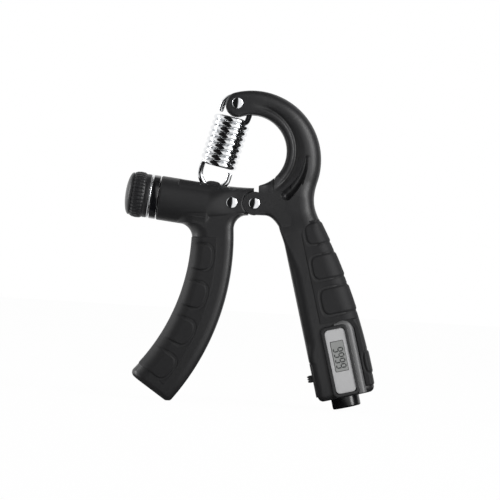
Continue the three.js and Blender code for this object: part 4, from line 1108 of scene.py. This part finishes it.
@dataclass
class Counter:
    """Raised frame, light plate, display with its digits, and the round button under them."""

    frame: Material
    # Finish of the flank: a light grey that is a painted highlight on the slope lit from the right.
    side: Material
    plate: Material
    glass: Material
    ink: Material
    button: Material
    middle: Pair = (26.9, -88.8)
    half: Pair = (7.2, 18.6)
    front: float = -12.8
    rim: float = 1.7
    window: Pair = (3.25, 7.75)
    window_z: float = -86.25
    digits: int = 4
    digit_step: float = 2.85
    digit_half: Pair = (0.9, 1.2)
    bar_half_width: float = 0.3
    bar_gap: float = 0.12
    digit_drop: float = 0.9
    ink_depths: Pair = (-12.28, -12.34)
    flank_corner: float = 4.4
    flank_start: Pair = (27.4, -69.9)
    flank_end: float = -107.2
    plate_gap: float = 0.12
    bezel_rim: float = 0.28
    button_x: float = 25.6
    button_ends: Pair = (-101.4, -113.35)
    button_radii: Pair = (7.4, 7.35)

    def placed(self, surface: Surface, x: float, z: float) -> Surface:
        """A surface drawn about its own middle, put at a place of the handle's frame."""
        return into(FINGER, into(Axes(x, z), surface))

    def surround(self) -> Surface:
        """The frame: a rounded section carried round a rounded rectangle, closed both ways."""
        r = 0.55
        turn = np.linspace(0, math.pi / 2, 6)
        section = [(0.0, -9.0), (0.0, -10.5)]
        section += [(r * (1 - math.cos(a)), self.front + r * (1 - math.sin(a))) for a in turn]
        section += [(self.rim - r * math.cos(a), self.front + r * (1 - math.sin(a))) for a in turn[::-1]]
        section += [(self.rim, -11.0), (self.rim, -9.0)]
        rows = []
        for inset, depth in section:
            flat = outline(self.half[0] - inset, self.half[1] - inset, max(2.9 - inset, 0.5))
            rows.append(grid(flat[:, 0], np.full(len(flat), depth), flat[:, 1]))
        return net(np.stack(rows), loop=True)

    def flank(self) -> Surface:
        """Sloped satin band beside the frame, which widens round its top corner and then runs down. Its light
        grey colour is a painted highlight.
        """
        run = np.linspace(0, 1, 90)
        corner = self.flank_corner
        (x0, z0), z1 = self.flank_start, self.flank_end
        x1 = self.middle[0] + self.half[0] - 0.3
        top, side = x1 - corner - x0, corner * math.pi / 2
        length = (top + side + (z0 - corner - z1)) * run
        turn = np.clip((length - top) / corner, 0, math.pi / 2)
        x = np.where(length < top, x0 + length, x1 - corner + corner * np.sin(turn))
        below = z0 - corner - (length - top - side)
        z = np.where(length < top + side, z0 - corner + corner * np.cos(turn), below)
        out = grid(np.sin(turn), np.cos(turn))
        width = 0.5 + 2.8 * smooth(length / 7.0)
        front = [(-0.6, -12.5), (0.0, -12.62), (0.25, -12.6), (0.6, -12.25), (0.95, -11.55)]
        section = front + [(1.0, -11.0), (0.9, -10.2), (-0.6, -10.2)]
        rows = []
        for share, depth in section:
            reach = np.where(share > 0, share * width, share)
            rows.append(grid(x + out[:, 0] * reach, depth, z + out[:, 1] * reach))
        return into(FINGER, net(np.stack(rows, axis=1)))

    def figures(self) -> Surface:
        """The digits, all nines: bars with pointed ends, read down the window, so their tops face right."""
        half_wide, half_high = self.digit_half
        thick, bars = self.bar_half_width, []
        for k in range(self.digits):
            z = ((self.digits - 1) / 2 - k) * self.digit_step - self.digit_drop
            for segment in NINE:
                across, up, flat = segment.value
                length = (half_wide if flat else half_high) - self.bar_gap
                ahead = [(-length, 0), (-length + thick, thick), (length - thick, thick)]
                tip = ahead + [(length, 0), (length - thick, -thick), (-length + thick, -thick)]
                bar = np.array(tip) if flat else np.array(tip)[:, ::-1]
                bar = bar + np.array([across * half_wide, up * 2 * half_high])
                bars.append(net(np.stack([grid(bar[:, 1], y, z - bar[:, 0]) for y in self.ink_depths])))
        return together(*bars)

    def build(self) -> None:
        """Makes the counter's pieces on the finger lever and the button on its own body."""
        x, z = self.middle
        frame = put("counter_surround", self.placed(self.surround(), x, z), self.frame)
        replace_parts(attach(frame, "finger_lever"), "counter_frame")
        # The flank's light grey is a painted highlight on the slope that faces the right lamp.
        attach(put("counter_flank", self.flank(), self.side, sharp=70), "finger_lever")
        half_x, half_z = (half - self.rim - self.plate_gap for half in self.half)
        plate = slab(half_x, half_z, 2.4, -12.12, -11.4, 0.25)
        plate = put("counter_plate", self.placed(plate, x, z), self.plate)
        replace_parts(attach(plate, "finger_lever"), "counter_faceplate")
        wx, wz = self.window
        bezel = slab(wx + self.bezel_rim, wz + self.bezel_rim, 0.6, -12.2, -11.6, 0.1)
        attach(put("display_bezel", self.placed(bezel, x, self.window_z), self.frame), "finger_lever")
        pane = slab(wx, wz, 0.5, -12.28, -11.8, 0.08)
        pane = put("display_pane", self.placed(pane, x, self.window_z), self.glass)
        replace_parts(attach(pane, "finger_lever"), "lcd_window")
        digits = self.placed(self.figures(), x, self.window_z)
        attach(put("display_digits", digits, self.ink), "finger_lever")
        (top, end), (wide, narrow) = self.button_ends, self.button_radii
        profile = rounded([(top, ON_AXIS), (top, wide), (end, narrow), (end, ON_AXIS)], 0.9, 6)
        stem = into(Axes(self.button_x, 0.0), turned(profile, 96, "z"))
        button = put("round_button", into(FINGER, stem), self.button)
        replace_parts(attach(button, "reset_button"), "reset_button")


# ---------------------------------------------------------------- finishes


class Wiring:
    """Adds nodes to a shader tree, sets their values and links them."""

    def __init__(self, tree: Tree) -> None:
        """Keeps the tree that the nodes go into."""
        self.tree = tree

    def feed(self, socket: Socket, source: object) -> None:
        """Links an output to the socket, or sets the socket to a plain value."""
        if isinstance(source, Socket):
            self.tree.links.new(source, socket)
        else:
            socket.default_value = source

    def add(self, kind: str, sockets: dict | None = None, **settings: object) -> Node:
        """A new node.

        Args:
            kind: its type, without the word ShaderNode.
            sockets: for each input, by name or number, an output to link or a value to set.
            settings: attributes of the node, set before its inputs.

        Returns:
            The node.
        """
        node = self.tree.nodes.new(f"ShaderNode{kind}")
        for key, value in settings.items():
            setattr(node, key, value)
        for key, value in (sockets or {}).items():
            self.feed(node.inputs[key], value)
        return node

    def math(self, operation: str, *inputs: object) -> Socket:
        """Result of a Math node."""
        return self.add("Math", dict(enumerate(inputs)), operation=operation).outputs["Value"]

    def remap(self, value: object, source: tuple, target: tuple = (0.0, 1.0)) -> Socket:
        """Result of a Map Range node, from one pair of limits to another."""
        sockets = {"Value": value, "From Min": source[0], "From Max": source[1]}
        return self.add("MapRange", sockets | {"To Min": target[0], "To Max": target[1]}).outputs["Result"]

    def blend(self, share: object, first: object, second: object) -> Socket:
        """Colour between two colours."""
        sockets = {"Factor": share, "A": first, "B": second}
        return self.add("Mix", sockets, data_type="RGBA").outputs["Result"]

    def group(self, tree: Tree, sockets: dict) -> Node:
        """A node that holds a group."""
        return self.add("Group", sockets, node_tree=tree)


def node_group(name: str, inputs: dict[str, float], outputs: list[str]) -> tuple[Wiring, Node, Node]:
    """A shader node group with float inputs and outputs: its wiring and its two end nodes."""
    group = bpy.data.node_groups.new(name, "ShaderNodeTree")
    group.interface.new_socket("Vector", in_out="INPUT", socket_type="NodeSocketVector")
    for key, value in inputs.items():
        group.interface.new_socket(key, in_out="INPUT", socket_type="NodeSocketFloat").default_value = value
    for key in outputs:
        group.interface.new_socket(key, in_out="OUTPUT", socket_type="NodeSocketFloat")
    return Wiring(group), group.nodes.new("NodeGroupInput"), group.nodes.new("NodeGroupOutput")


def grain_group() -> Tree:
    """Moulded grain: fine noise for roughness and height, broad noise for slow changes of tone."""
    wiring, given, result = node_group("grain", {"Scale": 1500.0}, ["Fine", "Broad", "Height"])
    vector, scale = given.outputs["Vector"], given.outputs["Scale"]
    fine = wiring.add("TexNoise", {"Vector": vector, "Scale": scale, "Detail": 3.0, "Roughness": 0.6})
    broad = wiring.add("TexNoise", {"Vector": vector, "Scale": 45.0, "Detail": 2.0})
    wiring.feed(result.inputs["Fine"], fine.outputs["Fac"])
    wiring.feed(result.inputs["Broad"], broad.outputs["Fac"])
    wiring.feed(result.inputs["Height"], wiring.remap(fine.outputs["Fac"], (0.35, 0.65)))
    return wiring.tree


def wear_group() -> Tree:
    """Edge wear: where the surface turns sharply outwards, broken up by noise."""
    wiring, given, result = node_group("wear", {"Amount": 0.3}, ["Mask"])
    noise = wiring.add("TexNoise", {"Vector": given.outputs["Vector"], "Scale": 300.0})
    edge = wiring.remap(wiring.add("NewGeometry").outputs["Pointiness"], (0.53, 0.62))
    broken = wiring.math("MULTIPLY", edge, noise.outputs["Fac"])
    wiring.feed(result.inputs["Mask"], wiring.math("MULTIPLY", broken, given.outputs["Amount"]))
    return wiring.tree


WHITE, BLACK = 1.0, 0.01
FLAG_STOPS = (
    (-180, WHITE), (-60, WHITE), (-52, BLACK), (1, BLACK), (6, WHITE),
    (57, WHITE), (63, BLACK), (110, BLACK), (118, WHITE),
)
STEEP, STEEP_LEVEL = (0.72, 0.9), 0.12


def flag_group() -> Tree:
    """Level of the surroundings: white with two black flags by compass direction, and dark far up and down.

    The compass direction is atan2(x, -y) in degrees, and the height is |z| of the unit vector.
    """
    wiring, given, result = node_group("flags", {}, ["Level"])
    unit = wiring.add("VectorMath", {0: given.outputs["Vector"]}, operation="NORMALIZE").outputs["Vector"]
    split = wiring.add("SeparateXYZ", {"Vector": unit})
    ahead = wiring.math("MULTIPLY", split.outputs["Y"], -1.0)
    compass = wiring.math("DEGREES", wiring.math("ARCTAN2", split.outputs["X"], ahead))
    ramp = wiring.add("ValToRGB", {"Fac": wiring.remap(compass, (-180.0, 180.0))})
    while len(ramp.color_ramp.elements) < len(FLAG_STOPS):
        ramp.color_ramp.elements.new(0.5)
    for element, (where, value) in zip(ramp.color_ramp.elements, FLAG_STOPS):
        element.position = (where + 180) / 360
        element.color = (value, value, value, 1)
    grey = wiring.add("SeparateColor", {"Color": ramp.outputs["Color"]})
    height = wiring.math("ABSOLUTE", split.outputs["Z"])
    dim = wiring.remap(height, STEEP, (1.0, STEEP_LEVEL))
    wiring.feed(result.inputs["Level"], wiring.math("MULTIPLY", grey.outputs["Red"], dim))
    return wiring.tree


@dataclass(frozen=True)
class Finish:
    """One procedural finish: two tones that the grain mixes, its roughness range, relief and edge wear."""

    name: str
    dark: Triple
    light: Triple
    rough: Pair
    scale: float = 1500.0
    relief: float = 0.00003
    metal: float = 0.0
    coat: float = 0.0
    shine: float = 0.5
    wear: float = 0.15
    # line: share of painted shade mixed in along grooves, pad outlines and seams
    line: float = 0.0

    def material(self, grain: Tree, wear: Tree) -> Material:
        """The material: grain and wear feed colour, roughness and normal of one Principled shader."""
        made = bpy.data.materials.new(self.name)
        made.use_nodes = True
        wiring = Wiring(made.node_tree)
        shader = made.node_tree.nodes["Principled BSDF"]
        place = wiring.add("TexCoord").outputs["Object"]
        noise = wiring.group(grain, {"Vector": place, "Scale": self.scale})
        edge = wiring.group(wear, {"Vector": place, "Amount": self.wear})
        paler = tuple(min(1.0, 0.12 + 1.5 * c) for c in self.light)
        tone = wiring.blend(noise.outputs["Broad"], (*self.dark, 1), (*self.light, 1))
        colour = wiring.blend(edge.outputs["Mask"], tone, (*paler, 1))
        # Painted shade: the line attribute darkens grooves, pad outlines and seams towards a near-black
        # colour.
        if self.line:
            marks = wiring.add("Attribute", attribute_name="line")
            share = wiring.math("MULTIPLY", marks.outputs["Fac"], self.line)
            colour = wiring.blend(share, colour, CREASE_SHADE_COLOUR)
        height = noise.outputs["Height"]
        bump = wiring.add("Bump", {"Distance": self.relief, "Strength": 0.6, "Height": height})
        sockets = {
            "Base Color": colour,
            "Roughness": wiring.remap(noise.outputs["Fine"], (0.3, 0.7), self.rough),
            "Normal": bump.outputs["Normal"],
            "Metallic": self.metal,
            "Coat Weight": self.coat,
            "Coat Roughness": 0.08,
            "Specular IOR Level": self.shine,
        }
        for key, value in sockets.items():
            wiring.feed(shader.inputs[key], value)
        return made


# Colour of the painted shade in grooves, pad outlines and seams.
CREASE_SHADE_COLOUR = (0.002, 0.002, 0.002, 1)
FINISHES = (
    Finish(
        "black_plastic", (0.012, 0.012, 0.013), (0.018, 0.018, 0.019), (0.36, 0.44),
        # line: strength of the painted shade in the grooves and seams of the plastic
        relief=0.00002, shine=0.4, line=0.7,
    ),
    Finish(
        "soft_rubber", (0.010, 0.010, 0.011), (0.014, 0.014, 0.015), (0.55, 0.66),
        # line: strength of the painted shade along the pad outlines and seams of the rubber
        scale=2200, shine=0.3, wear=0.05, line=0.9,
    ),
    Finish(
        "gloss_black", (0.004, 0.004, 0.005), (0.006, 0.006, 0.007), (0.06, 0.1),
        relief=0.000002, coat=0.6, wear=0.05,
    ),
    Finish("knob_plastic", (0.012, 0.012, 0.013), (0.018, 0.018, 0.02), (0.35, 0.45), shine=0.4),
    Finish("frame_plastic", (0.012, 0.012, 0.013), (0.016, 0.016, 0.017), (0.25, 0.32), relief=0.00001),
    # Light grey flank: a painted highlight on black plastic, not the plastic's own colour.
    Finish(
        "flank_painted_highlight", (0.085, 0.085, 0.087), (0.1, 0.1, 0.102), (0.34, 0.4),
        relief=0.000008, shine=0.5,
    ),
    Finish(
        "button_black", (0.005, 0.005, 0.006), (0.007, 0.007, 0.008), (0.2, 0.26),
        relief=0.000004, wear=0.05,
    ),
    Finish(
        "cap_plastic", (0.02, 0.02, 0.021), (0.028, 0.028, 0.029), (0.34, 0.4),
        relief=0.000006, shine=0.4,
    ),
    Finish(
        "chrome", (0.78, 0.79, 0.81), (0.86, 0.87, 0.88), (0.06, 0.11),
        scale=2600, relief=0.000002, metal=1.0, wear=0.0,
    ),
    Finish(
        "steel", (0.40, 0.41, 0.43), (0.52, 0.53, 0.55), (0.25, 0.38),
        relief=0.000006, metal=1.0, wear=0.1,
    ),
    Finish("bronze", (0.42, 0.27, 0.10), (0.55, 0.36, 0.14), (0.28, 0.4), relief=0.000006, metal=1.0),
    Finish("nylon", (0.62, 0.60, 0.52), (0.72, 0.70, 0.62), (0.45, 0.55), wear=0.0),
    Finish("grey_plate", (0.40, 0.40, 0.405), (0.45, 0.45, 0.455), (0.35, 0.45), relief=0.000008, wear=0.0),
    Finish(
        "display_glass", (0.22, 0.225, 0.22), (0.26, 0.265, 0.26), (0.2, 0.3),
        relief=0.000001, coat=0.5, wear=0.0,
    ),
    Finish("display_ink", (0.02, 0.022, 0.022), (0.03, 0.032, 0.032), (0.2, 0.3), relief=0.000001, wear=0.0),
    Finish("board", (0.01, 0.09, 0.035), (0.015, 0.12, 0.05), (0.3, 0.4), coat=0.3, wear=0.0),
)

# The finish of each node that is shown as the CAD model has it.
LEFT_FROM_CAD = {
    "hinge_tongue": "steel",
    "pivot_bushing": "bronze",
    "front_hinge_washer": "nylon",
    "rear_hinge_washer": "nylon",
    "barrel_bush": "bronze",
    "thrust_washer": "steel",
    "lead_screw": "steel",
    "knob_nut": "steel",
    "tension_slider": "knob_plastic",
    "slider_nut": "bronze",
    "spring_roller": "steel",
    "counter_circuit_board": "board",
    "button_cell": "steel",
    "reset_switch": "frame_plastic",
    "trigger_switch": "frame_plastic",
    "side_cover": "frame_plastic",
    "upper_cover_screw": "steel",
    "lower_cover_screw": "steel",
    "count_trigger": "knob_plastic",
}


# ---------------------------------------------------------------- stage


@dataclass(frozen=True)
class Lamp:
    """A soft rectangular lamp, in metres and watts, that faces the object's middle."""

    name: str
    place: Triple
    size: Pair
    power: float
    target: Triple = (0.0, 0.0, 0.08)

    def build(self) -> None:
        """Makes the lamp and turns it from -Z towards its target."""
        data = bpy.data.lights.new(self.name, "AREA")
        data.shape = "RECTANGLE"
        data.size, data.size_y, data.energy = *self.size, self.power
        seat = bpy.data.objects.new(self.name, data)
        bpy.context.scene.collection.objects.link(seat)
        seat.location = self.place
        x, y, z = np.array(self.target) - np.array(self.place)
        seat.rotation_euler = (math.atan2(math.hypot(x, y), -z), 0.0, math.atan2(y, x) - math.pi / 2)


@dataclass
class Studio:
    """Camera square on the front of the pivot frame, floor, lamps, and the light of the surroundings.

    The distance, the field and the floor are in metres, the aim in the pivot frame's millimetres.
    """

    distance: float = 2.0
    field: float = 0.26
    aim: Pair = (-2.29, -24.13)
    sensor: float = 36.0
    floor_size: float = 3.0
    floor_glow: float = 0.975
    to_spring: Triple = (0.025, 0.0, -0.14)
    even_light: float = 0.5
    lamps: tuple[Lamp, ...] = (
        Lamp("right_lamp", (1.15, -0.95, 0.55), (0.5, 1.2), 18.0),
        Lamp("left_lamp", (-1.5, 0.2, 0.45), (0.3, 1.0), 11.0),
    )

    def camera(self) -> None:
        """Looks along +Y from far off, turned with the object's lean."""
        data = bpy.data.cameras.new("camera")
        data.sensor_width = self.sensor
        data.lens = self.sensor * self.distance / self.field
        seat = bpy.data.objects.new("camera", data)
        bpy.context.scene.collection.objects.link(seat)
        at = STAND.out(np.array([[self.aim[0], 0.0, self.aim[1]]]))[0] * MM
        seat.location = (at[0], -self.distance, at[2])
        seat.rotation_euler = (math.pi / 2, STAND.turn, 0)
        bpy.context.scene.camera = seat

    def floor(self, flags: Tree) -> None:
        """A wide pale floor, all but white to the camera; mirrors see the flags in it, about the spring."""
        size = self.floor_size
        corners = [(-size, -size, 0), (size, -size, 0), (size, size, 0), (-size, size, 0)]
        mesh = bpy.data.meshes.new("floor")
        mesh.from_pydata(corners, [], [(0, 1, 2, 3)])
        made = bpy.data.materials.new("floor")
        made.use_nodes = True
        nodes, wiring = made.node_tree.nodes, Wiring(made.node_tree)
        paint = nodes["Principled BSDF"]
        matt = {"Base Color": (0.9, 0.9, 0.9, 1), "Roughness": 0.9, "Specular IOR Level": 0.0}
        for key, value in matt.items():
            wiring.feed(paint.inputs[key], value)
        path = wiring.add("LightPath")
        seen = path.outputs["Is Camera Ray"]
        place = wiring.add("TexCoord").outputs["Object"]
        from_spring = wiring.add("VectorMath", {0: place, 1: self.to_spring}).outputs["Vector"]
        mask = wiring.group(flags, {"Vector": from_spring}).outputs["Level"]
        glow = wiring.add("Emission", {"Color": wiring.math("MAXIMUM", mask, seen)})
        share = wiring.math("MULTIPLY", seen, self.floor_glow)
        most = wiring.math("MAXIMUM", share, path.outputs["Is Glossy Ray"])
        both = wiring.add("MixShader", {"Fac": most, 1: paint.outputs["BSDF"], 2: glow.outputs["Emission"]})
        wiring.feed(nodes["Material Output"].inputs["Surface"], both.outputs["Shader"])
        mesh.materials.append(made)
        plane = bpy.data.objects.new("floor", mesh)
        bpy.context.scene.collection.objects.link(plane)

    def world(self, flags: Tree) -> None:
        """White to the camera; mirrors see white broken by black flags; the rest gets an even grey light."""
        made = bpy.data.worlds.new("surroundings")
        made.use_nodes = True
        wiring = Wiring(made.node_tree)
        path = wiring.add("LightPath")
        around = wiring.add("TexCoord").outputs["Generated"]
        mask = wiring.group(flags, {"Vector": around}).outputs["Level"]
        even = (self.even_light, self.even_light, self.even_light, 1)
        level = wiring.blend(path.outputs["Is Glossy Ray"], even, mask)
        either = wiring.math("MAXIMUM", path.outputs["Is Camera Ray"], path.outputs["Is Transmission Ray"])
        seen = wiring.blend(either, level, (1, 1, 1, 1))
        wiring.feed(made.node_tree.nodes["Background"].inputs["Color"], seen)
        bpy.context.scene.world = made

    def build(self) -> None:
        """Sets camera, floor, lamps and surroundings."""
        self.camera()
        flags = flag_group()
        self.floor(flags)
        self.world(flags)
        for lamp in self.lamps:
            lamp.build()
        bpy.context.scene.view_settings.view_transform = "Standard"


def main() -> None:
    """Builds every sub-assembly, dresses what stays from the CAD model, and sets the stage."""
    logging.basicConfig(level=logging.INFO, format="%(message)s")
    grain, wear = grain_group(), wear_group()
    looks = {finish.name: finish.material(grain, wear) for finish in FINISHES}
    for node, look in LEFT_FROM_CAD.items():
        mesh = frame["nodes"][node].data
        mesh.materials.clear()
        mesh.materials.append(looks[look])
    PalmLever(looks["black_plastic"], looks["soft_rubber"]).build()
    FingerLever(looks["black_plastic"], looks["soft_rubber"]).build()
    TensionKnob(looks["gloss_black"], looks["knob_plastic"], looks["chrome"], looks["cap_plastic"]).build()
    Rivets(looks["chrome"]).build()
    Spring(looks["chrome"]).build()
    counter = ("frame_plastic", "flank_painted_highlight", "grey_plate", "display_glass", "display_ink", "button_black")
    Counter(*(looks[name] for name in counter)).build()
    Studio().build()


if __name__ == "__main__":
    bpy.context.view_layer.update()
    main()
